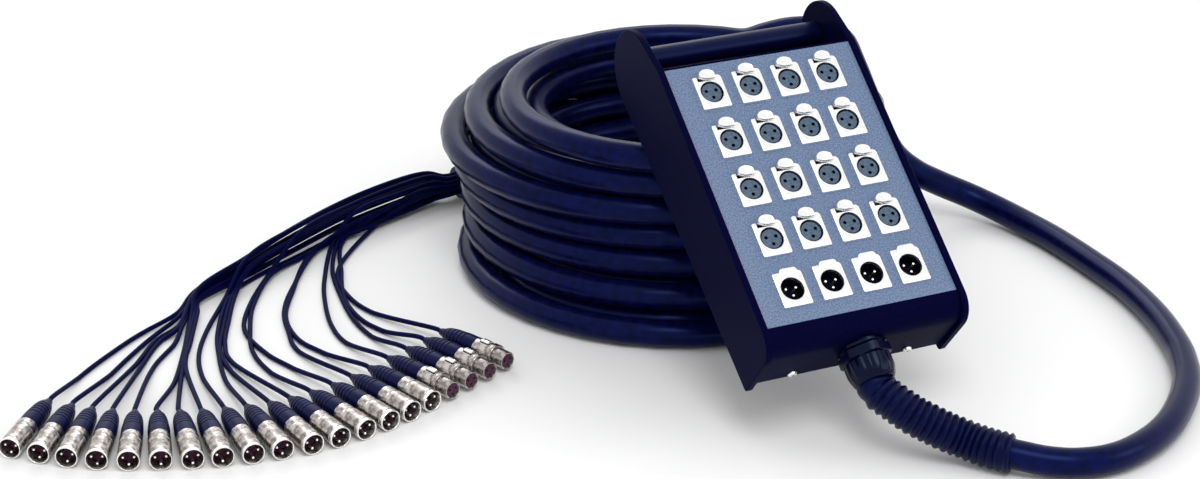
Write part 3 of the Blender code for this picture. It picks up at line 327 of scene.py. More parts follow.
def make_materials():
    blue_gloss = (0.22, (0.2, 0.34, 1.0))
    navy = ((0.0009, 0.001, 0.013), (0.0022, 0.0024, 0.030))
    return {
        "case": mottled("case_powder_coat", *navy, 0.45, scale=900, sheen=(0.02, (0.2, 0.24, 1.0))),
        "handle": mottled("handle_powder_coat", *navy, 0.3, scale=900, sheen=(0.3, (0.2, 0.34, 1.0))),
        "panel": mottled("panel_powder_coat", (0.072, 0.108, 0.2), (0.158, 0.232, 0.38), 0.42, scale=700),
        "nickel": nickel_finish("nickel_plating", (0.90, 0.90, 0.89), (0.97, 0.97, 0.96), 260),
        # The plugs' shells: a darker, browner copy of the nickel that stands for its dim reflections, as
        # painted shade.
        "plug_nickel_painted_shade": nickel_finish("plug_nickel_painted_shade", (0.24, 0.21, 0.20), (0.60, 0.57, 0.55), 260),
        "jacket": mottled("cable_jacket", (0.001, 0.0014, 0.019), (0.0024, 0.0034, 0.044), 0.27,
                          scale=120, bump=0.12, sheen=blue_gloss),
        "tail": mottled("tail_jacket", (0.0012, 0.0018, 0.026), (0.0026, 0.0036, 0.05), 0.45, scale=200,
                        bump=0.1, sheen=(0.05, (0.3, 0.4, 1.0))),
        "hose": mottled("hose_plastic", (0.0009, 0.0012, 0.014), (0.0022, 0.003, 0.032), 0.36, scale=300,
                        sheen=blue_gloss),
        "boot": mottled("boot_rubber", (0.0012, 0.0014, 0.018), (0.003, 0.0034, 0.045), 0.4, scale=500,
                        sheen=(0.22, (0.3, 0.4, 1.0))),
        "gland": mottled("gland_plastic", (0.0006, 0.0008, 0.009), (0.0015, 0.002, 0.02), 0.22, bump=0.08,
                         sheen=(0.16, (0.5, 0.7, 1.0))),
        "insert": mottled("insert_plastic", (0.03, 0.06, 0.10), (0.075, 0.125, 0.2), 0.4, scale=500,
                          bump=0.05),
        "plug_insert": mottled("plug_insert_plastic", (0.02, 0.004, 0.02), (0.09, 0.03, 0.06), 0.4,
                               scale=700, bump=0.05, sheen=(0.2, (1.0, 0.7, 0.7))),
        # Near-black painted shade for hollows: barrel walls and floors, contact holes, the latch notch,
        # screw recesses, button grooves and the button's seat.
        "dark": mottled("recess_painted_shade", (0.001, 0.0012, 0.004), (0.002, 0.0026, 0.008), 0.6, scale=500,
                        bump=0.05, sheen=(0.1, (0.5, 0.6, 1.0))),
    }


# Shapes

def put(data, name=None, body=ROOT, place=None):
    """Shows a mesh, curve, lamp or camera as an object, which rides a body unless that is None."""
    made = bpy.data.objects.new(name or data.name, data)
    bpy.context.scene.collection.objects.link(made)
    if place is not None:
        made.matrix_world = place
    if body is not None:
        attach(made, body)
    return made


def smooth_shade(mesh, degrees=40):
    mesh.shade_smooth()
    mesh.set_sharp_from_angle(angle=math.radians(degrees))
    return mesh


def around(centre, radius, angle):
    return centre[0] + radius * math.cos(angle), centre[1] + radius * math.sin(angle)


def arc(centre, radius, start, end, count):
    turns = [math.radians(start + (end - start) * step / count) for step in range(count + 1)]
    return [around(centre, radius, turn) for turn in turns]


def join_loops(shape, low, high):
    faces = []
    for i in range(len(low)):
        j = (i + 1) % len(low)
        faces.append(shape.faces.new((low[i], low[j], high[j], high[i])))
    return faces


def add_rings(shape, rings, material=0, hollow=False):
    """Joins loops of points into one skin. A hollow one ends where it starts, any other gets end caps."""
    loops = [[shape.verts.new(p) for p in ring] for ring in rings]
    faces = []
    for low, high in zip(loops, loops[1:]):
        faces += join_loops(shape, low, high)
    if hollow:
        faces += join_loops(shape, loops[-1], loops[0])
    else:
        faces += [shape.faces.new(loops[0][::-1]), shape.faces.new(loops[-1])]
    for face in faces:
        face.material_index = material
    return faces


def circle(radius, count, centre=(0, 0)):
    return [around(centre, radius, 2 * math.pi * i / count) for i in range(count)]


def circle_ring(radius, z, count, centre=(0, 0)):
    return [(x, y, z) for x, y in circle(radius, count, centre)]


def in_metres(pairs):
    return [(a * MM, b * MM) for a, b in pairs]


def flat_heading(turn):
    return Vector((math.cos(turn), math.sin(turn), 0))


def rectangle(low, high, corners):
    """Outline from the lower left corner round, with the radius of each corner."""
    (x0, y0), (x1, y1) = low, high
    places = ((x0, y0, 1, 1, 180), (x1, y0, -1, 1, 270), (x1, y1, -1, -1, 0), (x0, y1, 1, -1, 90))
    points = []
    for (x, y, right, up, start), corner in zip(places, corners):
        points += arc((x + right * corner, y + up * corner), corner, start, start + 90, CORNER_STEPS)
    return points


def vertex_loop(shape, points, z):
    return [shape.verts.new((x, y, z)) for x, y in points]


def loop_edges(shape, loop):
    return [shape.edges.get((loop[i - 1], loop[i])) or shape.edges.new((loop[i - 1], loop[i]))
            for i in range(len(loop))]


def pierced_plate(shape, outline, holes, back, front, edge=0.0, count=40):
    """A plate with round holes, each (x, y, radius, floor). A hole without a floor goes through."""
    top = vertex_loop(shape, outline, front)
    low = vertex_loop(shape, outline, back)
    join_loops(shape, low, top)
    front_edges = loop_edges(shape, top)
    back_edges = loop_edges(shape, low)
    rim = list(front_edges)
    for x, y, radius, floor in holes:
        ring = circle(radius, count, (x, y))
        mouth = vertex_loop(shape, ring, front)
        foot = vertex_loop(shape, ring, back if floor is None else floor)
        for face in join_loops(shape, foot, mouth):
            face.material_index = 0 if floor is None else 1
        front_edges += loop_edges(shape, mouth)
        if floor is None:
            back_edges += loop_edges(shape, foot)
        else:
            shape.faces.new(foot).material_index = 1
    for edges in (front_edges, back_edges):
        bmesh.ops.triangle_fill(shape, use_beauty=True, use_dissolve=False, edges=edges,
                                normal=(0, 0, 1))
    if edge:
        bmesh.ops.bevel(shape, geom=rim, offset=edge, offset_type="OFFSET", segments=2, profile=0.5,
                        affect="EDGES", clamp_overlap=True)


def turned(shape, profile, count=32, centre=(0, 0), material=0):
    """Adds a solid turned round Z from points of radius and height, with a cap at each end."""
    rings = [circle_ring(radius, z, count, centre) for radius, z in profile]
    return add_rings(shape, rings, material)


def finish_mesh(name, shape, materials=(), degrees=40):
    bmesh.ops.recalc_face_normals(shape, faces=shape.faces)
    mesh = bpy.data.meshes.new(name)
    for material in materials:
        mesh.materials.append(material)
    shape.to_mesh(mesh)
    shape.free()
    return smooth_shade(mesh, degrees)


def boolean_cut(mesh, cutter, name):
    """The mesh with the cutter mesh taken out of it."""
    target = put(mesh, "target", None)
    tool = put(cutter, "tool", None)
    change = target.modifiers.new("cut", "BOOLEAN")
    change.operation = "DIFFERENCE"
    change.object = tool
    change.material_mode = "TRANSFER"
    bpy.context.view_layer.update()
    graph = bpy.context.evaluated_depsgraph_get()
    result = bpy.data.meshes.new_from_object(target.evaluated_get(graph))
    result.name = name
    for item in (target, tool):
        bpy.data.objects.remove(item, do_unlink=True)
    return smooth_shade(result)


def tube(name, points, radius, material, sides_setting):
    curve = bpy.data.curves.new(name, "CURVE")
    curve.dimensions = "3D"
    curve.bevel_depth = radius
    curve.bevel_resolution = sides_setting
    curve.use_fill_caps = True
    curve.twist_mode = "MINIMUM"
    curve.materials.append(material)
    spline = curve.splines.new("POLY")
    spline.points.add(len(points) - 1)
    for knot, point in zip(spline.points, points):
        knot.co = (*point, 1)
    spline.use_smooth = True
    return curve


def smooth_route(points, step):
    """Points about one step apart along a smooth curve through the given points."""
    fine = []
    padded = [points[0], *points, points[-1]]
    for before, start, end, after in zip(padded, padded[1:], padded[2:], padded[3:]):
        for part in range(FINE_STEPS):
            t = part / FINE_STEPS
            fine.append(
                0.5 * (2 * start + (end - before) * t
                       + (2 * before - 5 * start + 4 * end - after) * t * t
                       + (3 * start - before - 3 * end + after) * t ** 3)
            )
    fine.append(points[-1])
    return even_points(fine, step)


def even_points(fine, step):
    reach = [0.0]
    for a, b in zip(fine, fine[1:]):
        reach.append(reach[-1] + (b - a).length)
    count = max(2, round(reach[-1] / step) + 1)
    result = []
    at = 0
    for number in range(count):
        wanted = reach[-1] * number / (count - 1)
        while at < len(fine) - 2 and reach[at + 1] < wanted:
            at += 1
        run = max(reach[at + 1] - reach[at], 1e-9)
        result.append(fine[at].lerp(fine[at + 1], (wanted - reach[at]) / run))
    return result


def mm_vector(values):
    """The first three values, in metres."""
    return Vector(values[:3]) * MM


# Camera and stage

def make_camera():
    data = bpy.data.cameras.new("camera")
    data.lens = LENS_MM
    data.sensor_width = SENSOR_MM
    camera = put(data, body=None)
    camera.location = CAMERA_AT
    camera.rotation_euler = (math.pi / 2 - CAMERA_PITCH, 0, CAMERA_AZIMUTH)
    bpy.context.scene.camera = camera


def make_stage():
    made, _, shader = new_material("pale_floor")
    floor_mesh = bpy.data.meshes.new("floor")
    shape = bmesh.new()
    bmesh.ops.create_grid(shape, x_segments=1, y_segments=1, size=30)
    shape.to_mesh(floor_mesh)
    shape.free()
    floor = put(floor_mesh, body=None)
    set_inputs(shader, {"Base Color": (0.93, 0.93, 0.93, 1), "Roughness": 0.9})
    floor_mesh.materials.append(made)
    floor.location = (0, 0, -FLOOR_DROP)


def make_world():
    """Even light, and plain white where the camera or a gloss sees the room."""
    world = bpy.data.worlds.new("studio")
    bpy.context.scene.world = world
    world.use_nodes = True
    tree = world.node_tree
    rays = tree.nodes.new("ShaderNodeLightPath")
    seen = tree.nodes.new("ShaderNodeMath")
    seen.operation = "MAXIMUM"
    tree.links.new(rays.outputs["Is Camera Ray"], seen.inputs[0])
    tree.links.new(rays.outputs["Is Glossy Ray"], seen.inputs[1])
    strength = set_inputs(tree.nodes.new("ShaderNodeMapRange"), {"To Min": WORLD_LIGHT, "To Max": 1.0})
    tree.links.new(seen.outputs["Value"], strength.inputs["Value"])
    ground = set_inputs(tree.nodes["Background"], {"Color": (1, 1, 1, 1)})
    tree.links.new(strength.outputs["Result"], ground.inputs["Strength"])


def area_lamp(name, at, target, size, power):
    data = bpy.data.lights.new(name, "AREA")
    data.shape = "RECTANGLE"
    data.size = size[0]
    data.size_y = size[1]
    data.energy = power
    lamp = put(data, body=None)
    lamp.location = at
    lamp.rotation_euler = (Vector(target) - Vector(at)).to_track_quat("-Z", "Y").to_euler()


def make_lamps():
    area_lamp("key", (-0.5, -1.4, 2.4), (0, 0.1, 0.1), (1.2, 1.2), 26)
    area_lamp("fill", (1.8, -1.6, 1.4), (0.1, 0.1, 0.1), (1.5, 1.0), 10)
    area_lamp("rim", (0.2, 2.4, 1.8), (0, 0.2, 0.1), (2.0, 0.8), 14)


# Stage box

def back_lean():
    """Angle between the cheeks' back edge and the panel."""
    return math.atan((DEPTH_BOTTOM - DEPTH_TOP) / (CHEEK_BOTTOM + LOBE_UP))


def back_depth(up):
    return DEPTH_TOP + (LOBE_UP - up) * math.tan(back_lean())


def box_matrix():
    drop = CHEEK_BOTTOM * math.cos(RECLINE) + back_depth(-CHEEK_BOTTOM) * math.sin(RECLINE)
    return Matrix.Translation((0, BOX_Y, BOX_LIFT + drop)) @ Matrix.Rotation(math.pi / 2 - RECLINE, 4, "X")


def cheek_outline():
    """Side outline as (z, y) in the box's frame."""
    lean = math.degrees(back_lean())
    points = arc((CHEEK_PROUD - CHEEK_CORNER, CHEEK_CORNER - CHEEK_BOTTOM), CHEEK_CORNER, -90, 0, 20)
    points.append((CHEEK_PROUD, PANEL_HEIGHT / 2))
    points += arc((-LOBE_BACK, LOBE_UP), LOBE_RADIUS, LOBE_FROM, 180 - lean, 40)
    heel = (CHEEK_HEEL - back_depth(CHEEK_HEEL - CHEEK_BOTTOM), CHEEK_HEEL - CHEEK_BOTTOM)
    points += arc(heel, CHEEK_HEEL, 180 - lean, 270, 8)
    return points


def make_cheeks(frame, paint):
    """Steel side plates with a rounded edge all round."""
    for name, side in (("left_cheek", -1), ("right_cheek", 1)):
        shape = bmesh.new()
        x0 = side * (PANEL_WIDTH / 2 + GAP)
        x1 = x0 + side * CHEEK_THICK
        add_rings(shape, [[(x, y, z) for z, y in cheek_outline()] for x in (x0, x1)])
        mesh = finish_mesh(name + "_plate", shape, [paint], 50)
        mesh.transform(frame)
        plate = put(mesh)
        edge = plate.modifiers.new("edge", "BEVEL")
        edge.width = CHEEK_EDGE
        edge.segments = 3
        edge.limit_method = "ANGLE"
        edge.angle_limit = math.radians(50)
        edge.harden_normals = True
        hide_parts(name)


def make_handle(frame, paint):
    shape = bmesh.new()
    half = PANEL_WIDTH / 2
    turned(shape, [(HANDLE_RADIUS - HANDLE_EDGE, -half), (HANDLE_RADIUS, HANDLE_EDGE - half),
                   (HANDLE_RADIUS, half - HANDLE_EDGE), (HANDLE_RADIUS - HANDLE_EDGE, half)], 48)
    turn = Matrix.Translation((0, HANDLE_UP, -HANDLE_BACK)) @ QUARTER_Y
    handle = put(finish_mesh("handle_bar", shape, [paint]), place=frame @ turn)
    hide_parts("handle_tube")


def jack_places():
    for row in range(ROWS):
        for column in range(COLUMNS):
            x = (column - (COLUMNS - 1) / 2) * COLUMN_PITCH
            y = ((ROWS - 1) / 2 - row) * ROW_PITCH
            yield row, x, y


def make_panel_plate(frame, paint):
    """Front plate with a round hole for each jack."""
    shape = bmesh.new()
    half_x = PANEL_WIDTH / 2
    half_y = PANEL_HEIGHT / 2
    outline = rectangle((-half_x, -half_y), (half_x, half_y), [PANEL_CORNER] * 4)
    holes = [(x, y, BARREL_RADIUS + HOLE_PLAY, None) for _, x, y in jack_places()]
    pierced_plate(shape, outline, holes, -PANEL_THICK, 0, PANEL_EDGE)
    made = put(finish_mesh("panel_plate", shape, [paint]), place=frame)
    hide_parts("connector_panel")


def pin_places(radius=4.8 * MM):
    return [around((0, 0), radius, math.radians(degrees)) for degrees in (-90, 20, 160)]


def jack_body(shape, outline):
    """Flange over an open barrel whose inner wall and floor carry painted shade. The mouth runs through
    both.
    """
    sides = 48
    pierced_plate(shape, outline, [(0, 0, MOUTH, None)], 0, FLANGE_FRONT, FLANGE_EDGE, sides)
    back = -PANEL_THICK - BARREL_LENGTH
    floor = FLANGE_FRONT - MOUTH_DEPTH
    profile = [(MOUTH, floor), (MOUTH, 0), (BARREL_RADIUS, 0), (BARREL_RADIUS, back + 0.6 * MM),
               (BARREL_RADIUS - 0.6 * MM, back)]
    faces = turned(shape, profile, sides)
    # The barrel's inner wall below the flange and its floor take painted shade.
    for face in faces[:sides] + [faces[-2]]:
        face.material_index = 1


def bezel_arc(shape):
    """A low ridge round part of the mouth."""
    rings = []
    count = 40
    for step in range(count + 1):
        across = flat_heading(math.radians(BEZEL_FROM + (BEZEL_TO - BEZEL_FROM) * step / count))
        rings.append([across * (MOUTH + out) + Vector((0, 0, FLANGE_FRONT + up))
                      for out, up in in_metres(BEZEL_SECTION)])
    add_rings(shape, rings)


def screw_head(shape, x, y, radius=2.2):
    """Countersunk head, dished in the middle. Its place and radius are in mm."""
    profile = in_metres(((radius, -0.5), (radius, 0.1), (radius - 0.7, 0.35)))
    turned(shape, [(out, FLANGE_FRONT + up) for out, up in profile], 20, (x * MM, y * MM))


def latch_outline():
    """A tab with a rounded tip. Its foot rises to the left, where it leaves part of the notch open."""
    points = in_metres(LATCH_FOOT)
    for step in range(25):
        angle = math.pi * step / 24
        points.append((LATCH_HALF * math.cos(angle), LATCH_SHOULDER + LATCH_TIP * math.sin(angle)))
    return [(LATCH_SHIFT + x, y) for x, y in points]


def female_jack_mesh(used):
    """Input jack: its flange has a notch at the top in which the latch runs."""
    shape = bmesh.new()
    half_x, half_y = FLANGE_HALF
    outline = rectangle((-half_x, -half_y), FLANGE_HALF, FLANGE_CORNERS)
    split = 3 * (CORNER_STEPS + 1)
    notch = [(NOTCH_TO, half_y), (NOTCH_TO, NOTCH_LOW), (NOTCH_FROM, NOTCH_LOW), (NOTCH_FROM, half_y)]
    jack_body(shape, outline[:split] + notch + outline[split:])
    bezel_arc(shape)
    # The notch's floor takes painted shade, where the latch shades the flange.
    floor = rectangle((NOTCH_FROM + GAP, NOTCH_LOW), (NOTCH_TO - GAP, half_y), [0.4 * MM] * 4)
    pierced_plate(shape, floor, [], 0.02 * MM, 0.3 * MM)
    for face in shape.faces:
        centre = face.calc_center_median()
        inside = NOTCH_FROM < centre.x < NOTCH_TO and NOTCH_LOW <= centre.y <= half_y
        if inside and centre.z < 0.35 * MM:
            face.material_index = 1
    screw_head(shape, -10.9, 13, 1.7)
    screw_head(shape, 10.2, -12.8)
    return finish_mesh("female_jack", shape, used)


def female_insert_mesh(used):
    """Insulator disc with three contact holes, sunk a little in the mouth."""
    shape = bmesh.new()
    top = FLANGE_FRONT - 1.0 * MM
    # The contact holes' walls and floors take painted shade.
    holes = [(x, y, 1.6 * MM, top - 8 * MM) for x, y in pin_places()]
    pierced_plate(shape, circle(8.7 * MM, 48), holes, top - 12.4 * MM, top, 0.5 * MM, 20)
    return finish_mesh("female_insert", shape, used)


def male_jack_mesh(used):
    shape = bmesh.new()
    half_x, half_y = FLANGE_HALF
    jack_body(shape, rectangle((-half_x, -half_y), FLANGE_HALF, FLANGE_CORNERS))
    bezel_arc(shape)
    screw_head(shape, -10.3, 12.4)
    screw_head(shape, 10.2, -12.8)
    lip = rectangle((-6.5 * MM, half_y - 3 * MM), (9.5 * MM, half_y + 2.6 * MM),
                    (0.6 * MM, 0.6 * MM, 3 * MM, 3 * MM))
    pierced_plate(shape, lip, [], 0.2 * MM, FLANGE_FRONT + 1.2 * MM, 0.5 * MM)
    return finish_mesh("male_jack", shape, used)


def pins_mesh(used):
    shape = bmesh.new()
    floor = FLANGE_FRONT - MOUTH_DEPTH
    tip = floor + PIN_LENGTH
    for centre in pin_places():
        turned(shape, [(1.2 * MM, floor), (1.2 * MM, tip - 0.8 * MM), (0.9 * MM, tip - 0.2 * MM),
                       (0.4 * MM, tip)], 16, centre)
    return finish_mesh("contact_pins", shape, used)


def make_jacks(frame, looks):
    # Nickel, and the painted shade for the barrels' hollows.
    nickel_and_recess_shade = [looks["nickel"], looks["dark"]]
    female = female_jack_mesh(nickel_and_recess_shade)
    insert = female_insert_mesh([looks["insert"], looks["dark"]])
    male = male_jack_mesh(nickel_and_recess_shade)
    pins = pins_mesh([looks["nickel"]])
    for number, (row, x, y) in enumerate(jack_places(), 1):
        at = frame @ Matrix.Translation((x, y, 0))
        pair = (female, insert) if row < INPUT_ROWS else (male, pins)
        for mesh, kind in zip(pair, ("jack", "jack_insert")):
            item = put(mesh, f"{kind}_{number:02d}", place=at)


def latch_mesh(used):
    """Push latch: a rounded tab with a dished thumb face."""
    shape = bmesh.new()
    outline = latch_outline()
    cx = sum(p[0] for p in outline) / len(outline)
    cy = sum(p[1] for p in outline) / len(outline)
    rings = []
    for scale, z in LATCH_STEPS:
        rings.append([(cx + (x - cx) * scale, cy + (y - cy) * scale, z * MM) for x, y in outline])
    add_rings(shape, rings)
    return finish_mesh("push_latch", shape, used)


def make_latches(frame, looks):
    mesh = latch_mesh([looks["nickel"]])
    for number, (row, x, y) in enumerate(jack_places(), 1):
        if row < INPUT_ROWS:
            body = f"input_latch_{number:02d}"
            at = frame @ Matrix.Translation((x, y, 0))
            latch = put(mesh, f"push_latch_{number:02d}", body, at)
            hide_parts(body)


def case_path(inset):
    """One face of the folded sheet as (z, y), from the panel's top edge round the back to its foot."""
    top = CASE_TOP - inset
    bottom = -CASE_BOTTOM + inset
    corner = CASE_CORNER - inset
    lean = math.degrees(back_lean())
    roll = CASE_BOTTOM - PANEL_HEIGHT / 2 - GAP
    top_z = -back_depth(top) + BACK_INSET + CASE_CORNER
    low_z = -back_depth(bottom) + BACK_INSET + CASE_CORNER
    return ([(0, top)]
            + arc((top_z, CASE_TOP - CASE_CORNER), corner, 90, 180 - lean, FOLD_STEPS)
            + arc((low_z, CASE_CORNER - CASE_BOTTOM), corner, 180 - lean, 270, FOLD_STEPS)
            + arc((-roll, -PANEL_HEIGHT / 2 - GAP), roll - inset, 270, 360, 2 * FOLD_STEPS))


def make_case(frame, paint):
    """Folded sheet: top, back and bottom in one piece, with holes for gland and screws."""
    shape = bmesh.new()
    outline = case_path(0) + case_path(SHEET)[::-1]
    half = PANEL_WIDTH / 2
    add_rings(shape, [[(x, y, z) for z, y in outline] for x in (-half, half)])
    shell = finish_mesh("case_sheet", shape, [paint], 30)
    holes = bmesh.new()
    for x, back, radius in ((0, GLAND_BACK, THREAD_RADIUS + GAP), (-SCREW_SPREAD, SCREW_BACK, SCREW_HOLE),
                            (SCREW_SPREAD, SCREW_BACK, SCREW_HOLE)):
        ring = circle(radius, 24, (x, -back))
        add_rings(holes, [[(px, y - CASE_BOTTOM, pz) for px, pz in ring] for y in (-6 * MM, 6 * MM)])
    shell = boolean_cut(shell, finish_mesh("case_holes", holes, [paint]), "case_sheet")
    case = put(shell, "case_sheet", place=frame)
    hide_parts("case_shell")


# Gland and hose

def hex_ring(flats, z):
    """A hexagon's outline with its corners turned off, with as many points as a circle."""
    widest = flats / 2 / math.cos(math.pi / 6) - 0.6 * MM
    points = []
    for i in range(HEX_POINTS):
        angle = 2 * math.pi * i / HEX_POINTS
        sector = (angle + math.pi / 6) % (math.pi / 3) - math.pi / 6
        reach = min(flats / 2 / math.cos(sector), widest)
        points.append((*around((0, 0), reach, angle), z))
    return points


def hex_nut(shape, flats, low, high, bore):
    """Hexagon with its corners turned down at both faces, round a bore."""
    face = 0.96 * flats / 2
    drop = 0.9 * MM
    rings = [circle_ring(face, low, HEX_POINTS), hex_ring(flats, low + drop), hex_ring(flats, high - drop)]
    rings += [circle_ring(radius, z, HEX_POINTS) for radius, z in ((face, high), (bore, high), (bore, low))]
    add_rings(shape, rings, hollow=True)


def thread_rings(low, high):
    """A fine stepped thread on the outside, and the bore."""
    turns = 22
    rings = []
    for step in range(turns + 1):
        radius = THREAD_RADIUS - (0.5 * MM if step % 2 else 0)
        rings.append(circle_ring(radius, low + (high - low) * step / turns, 48))
    return rings + [circle_ring(GLAND_BORE, high, 48), circle_ring(GLAND_BORE, low, 48)]


def dome_rings(top):
    """The dome nut, with sixteen shallow grip ribs that fade out towards its end."""
    count = 96
    rings = []
    for radius, along, rib in DOME_PROFILE:
        ring = []
        for i in range(count):
            angle = 2 * math.pi * i / count
            reach = (radius + rib * math.cos(16 * angle)) * MM
            ring.append((*around((0, 0), reach, angle), top + along * MM))
        rings.append(ring)
    inner = THREAD_RADIUS + GAP
    seat = top + 9.3 * MM
    end = top + DOME_PROFILE[-1][1] * MM
    for radius, z in ((GLAND_BORE, end), (GLAND_BORE, seat), (inner, seat), (inner, top)):
        rings.append(circle_ring(radius, z, count))
    return rings


def make_gland(frame, looks):
    """Locknut, body and ribbed dome nut, turned about the axis that runs down the panel."""
    top = CASE_BOTTOM + GAP
    hex_top = top + 4 * MM + GAP
    hex_end = hex_top + 9 * MM
    locknut = bmesh.new()
    hex_nut(locknut, 38 * MM, top, top + 4 * MM, THREAD_RADIUS + GAP)
    body = bmesh.new()
    hex_nut(body, 40 * MM, hex_top, hex_end, THREAD_RADIUS - 1 * MM)
    add_rings(body, thread_rings(CASE_BOTTOM - SHEET - THREAD_INSIDE, hex_end + 8.4 * MM), hollow=True)
    dome = bmesh.new()
    add_rings(dome, dome_rings(hex_end + GAP), hollow=True)
    turn = Matrix.Translation((0, 0, -GLAND_BACK)) @ QUARTER_X
    for name, shape, node in (("locknut", locknut, "gland_locknut"), ("gland_thread", body, "gland_body"),
                              ("dome_nut", dome, "gland_dome_nut")):
        piece = put(finish_mesh(name, shape, [looks["gland"]], 35), place=frame @ turn)
        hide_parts(node)


def make_screws(frame, looks):
    """Pan-head screws in the bottom, each with its cross recess drawn as a thin dark cross of painted
    shade.
    """
    head = CASE_BOTTOM + GAP
    shape = bmesh.new()
    turned(shape, [(radius, head + z) for radius, z in in_metres(SCREW_PROFILE)])
    for half_x, half_y in ((1.7 * MM, 0.35 * MM), (0.35 * MM, 1.7 * MM)):
        outline = rectangle((-half_x, -half_y), (half_x, half_y), [0.1 * MM] * 4)
        pierced_plate(shape, outline, [], head + 2.2 * MM, head + 2.42 * MM)
    # The cross's top faces take painted shade in place of a real recess.
    for face in shape.faces:
        if face.calc_center_median().z > head + 2.41 * MM:
            face.material_index = 1
    mesh = finish_mesh("case_screw", shape, [looks["nickel"], looks["dark"]])
    for node, side in (("bottom_screw_left", -1), ("bottom_screw_right", 1)):
        at = frame @ Matrix.Translation((side * SCREW_SPREAD, 0, -SCREW_BACK))
        screw = put(mesh, node.replace("bottom_", "case_"), place=at @ QUARTER_X)
        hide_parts(node)


def gland_point(frame, down):
    return frame @ Vector((0, -down, -GLAND_BACK))


def free_route(frame):
    start = gland_point(frame, DOME_END + GAP)
    down = (frame.to_3x3() @ Vector((0, -1, 0))).normalized()
    points = [start, start + down * 7 * MM]
    points += [mm_vector(p) for p in HOSE_ROUTE]
    points += [mm_vector(p) for p in LOOP_ROUTE]
    end = coil_point(LEAVE_TOP)
    before = coil_point(LEAVE_TOP + 3)
    points.append(end + (end - before).normalized() * 2 * CABLE_RADIUS)
    points.append(end)
    return points


def make_hose(frame, plastic):
    """Ribbed strain relief: round ribs on a thin wall, open at the end where the cable leaves."""
    step = 0.5 * MM
    steps_per_rib = 8
    sides = 40
    fine = smooth_route(free_route(frame), step)
    centre = even_points(fine[:int(HOSE_RIBS * RIB_PITCH / step)], RIB_PITCH / steps_per_rib)
    for point in centre:
        point.z = max(point.z, HOSE_RADIUS + FLOOR_CLEAR)
    frames = path_frames(centre)
    rings = []
    for index, place in enumerate(frames):
        wave = 0.5 - 0.5 * math.cos(2 * math.pi * index / steps_per_rib)
        rings.append(ring_at(*place, HOSE_VALLEY + (HOSE_RADIUS - HOSE_VALLEY) * wave ** 0.7, sides))
    rings += [ring_at(*place, HOSE_BORE, sides) for place in frames[::-1]]
    shape = bmesh.new()
    add_rings(shape, rings, hollow=True)
    hose = put(finish_mesh("ribbed_hose", shape, [plastic], 60))
    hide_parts("strain_relief_hose")


def path_frames(points):
    """A place and two cross directions for each point, without twist."""
    result = []
    side = None
    for index, at in enumerate(points):
        ahead = (points[min(index + 1, len(points) - 1)] - points[max(index - 1, 0)]).normalized()
        if side is None:
            side = ahead.orthogonal().normalized()
        side = (side - ahead * side.dot(ahead)).normalized()
        result.append((at, side, ahead.cross(side)))
    return result


def ring_at(at, side, up, radius, sides):
    return [at + side * x + up * y for x, y in circle(radius, sides)]


# Multicore cable

def layer_height(level):
    return CABLE_RADIUS + FLOOR_CLEAR + LAYER_STEP * level


def top_turn():
    depth = back_depth(0) - BACK_INSET
    along = Vector((math.sin(RECLINE), math.cos(RECLINE)))
    out = Vector((-math.cos(RECLINE), math.sin(RECLINE)))
    point = Vector((BOX_Y, box_matrix().translation.z)) - out * depth
    normal = along * math.sin(back_lean()) - out * math.cos(back_lean())
    front = point.x + (CABLE_RADIUS + GAP - (layer_height(len(LAYERS)) - point.y) * normal.y) / normal.x
    return TOP_TURN_X, front + TOP_TURN_RADIUS, TOP_TURN_RADIUS


def ease(share):
    share = min(max(share, 0), 1)
    return share * share * (3 - 2 * share)


def level_at(angle):
    passed = CLIMB_FROM - 360 - angle
    turn = 360 - CLIMB_CREEP
    whole = math.floor(passed / turn)
    if whole < 0:
        return 0.0
    return min(whole + ease((passed - whole * turn) / CLIMB_SPAN), float(len(LAYERS)))


def level_circle(level):
    turns = LAYERS + (top_turn(),)
    low = min(int(level), len(LAYERS) - 1)
    return [a + (b - a) * (level - low) for a, b in zip(turns[low], turns[low + 1])]


def on_circle(level, angle, inward):
    x, y, radius = level_circle(level)
    return Vector((*around((x, y), radius - inward, math.radians(angle)), layer_height(level)))


def coil_point(angle):
    """The outer shell of the winding, at an angle that falls from the fan-out's end to the loop's."""
    climbed = CLIMB_FROM - CLIMB_SPAN
    outside = 1 - ease((climbed - angle) / (climbed - ENTRY_MERGED))
    return on_circle(level_at(angle), angle, -ENTRY_OUT * outside)


def winding_moves():
    """Stretches between the top turn and the outer shell: degrees, level and shell reached at the end."""
    moves = [(CLIMB_SPAN, 5, 2)]
    for level in range(4, -1, -1):
        moves += [(LEVEL_RUN, level + 1, 2), (CLIMB_SPAN, level, 2)]
    moves += [(FLOOR_RUN, 0, 2), (SHELL_SPAN, 0, 1), (LEVEL_RUN - SHELL_SPAN, 0, 1), (CLIMB_SPAN, 1, 1)]
    for level in range(2, 6):
        moves += [(LEVEL_RUN, level - 1, 1), (CLIMB_SPAN, level, 1)]
    moves += [(LAST_RUN, 5, 1), (CLIMB_SPAN, 5, 0)]
    return moves


def winding():
    """The coil's centre line: top turn, inner shell down, middle shell up, outer shell down."""
    step = 360 / TURN_POINTS
    top = len(LAYERS)
    angle = LEAVE_TOP
    points = []
    while level_at(angle + step) >= top:
        angle += step
        points.append(coil_point(angle))
    level, shell = top, 0
    for span, next_level, next_shell in winding_moves():
        count = max(2, round(span / step))
        for number in range(1, count + 1):
            share = ease(number / count)
            angle += span / count
            inward = SHELL_STEP * (shell + (next_shell - shell) * share)
            points.append(on_circle(level + (next_level - level) * share, angle, inward))
        level, shell = next_level, next_shell
    angle -= 360 * round((angle - OUTER_FROM) / 360)
    while angle + step < ENTRY_FROM:
        angle += step
        points.append(coil_point(angle))
    return points


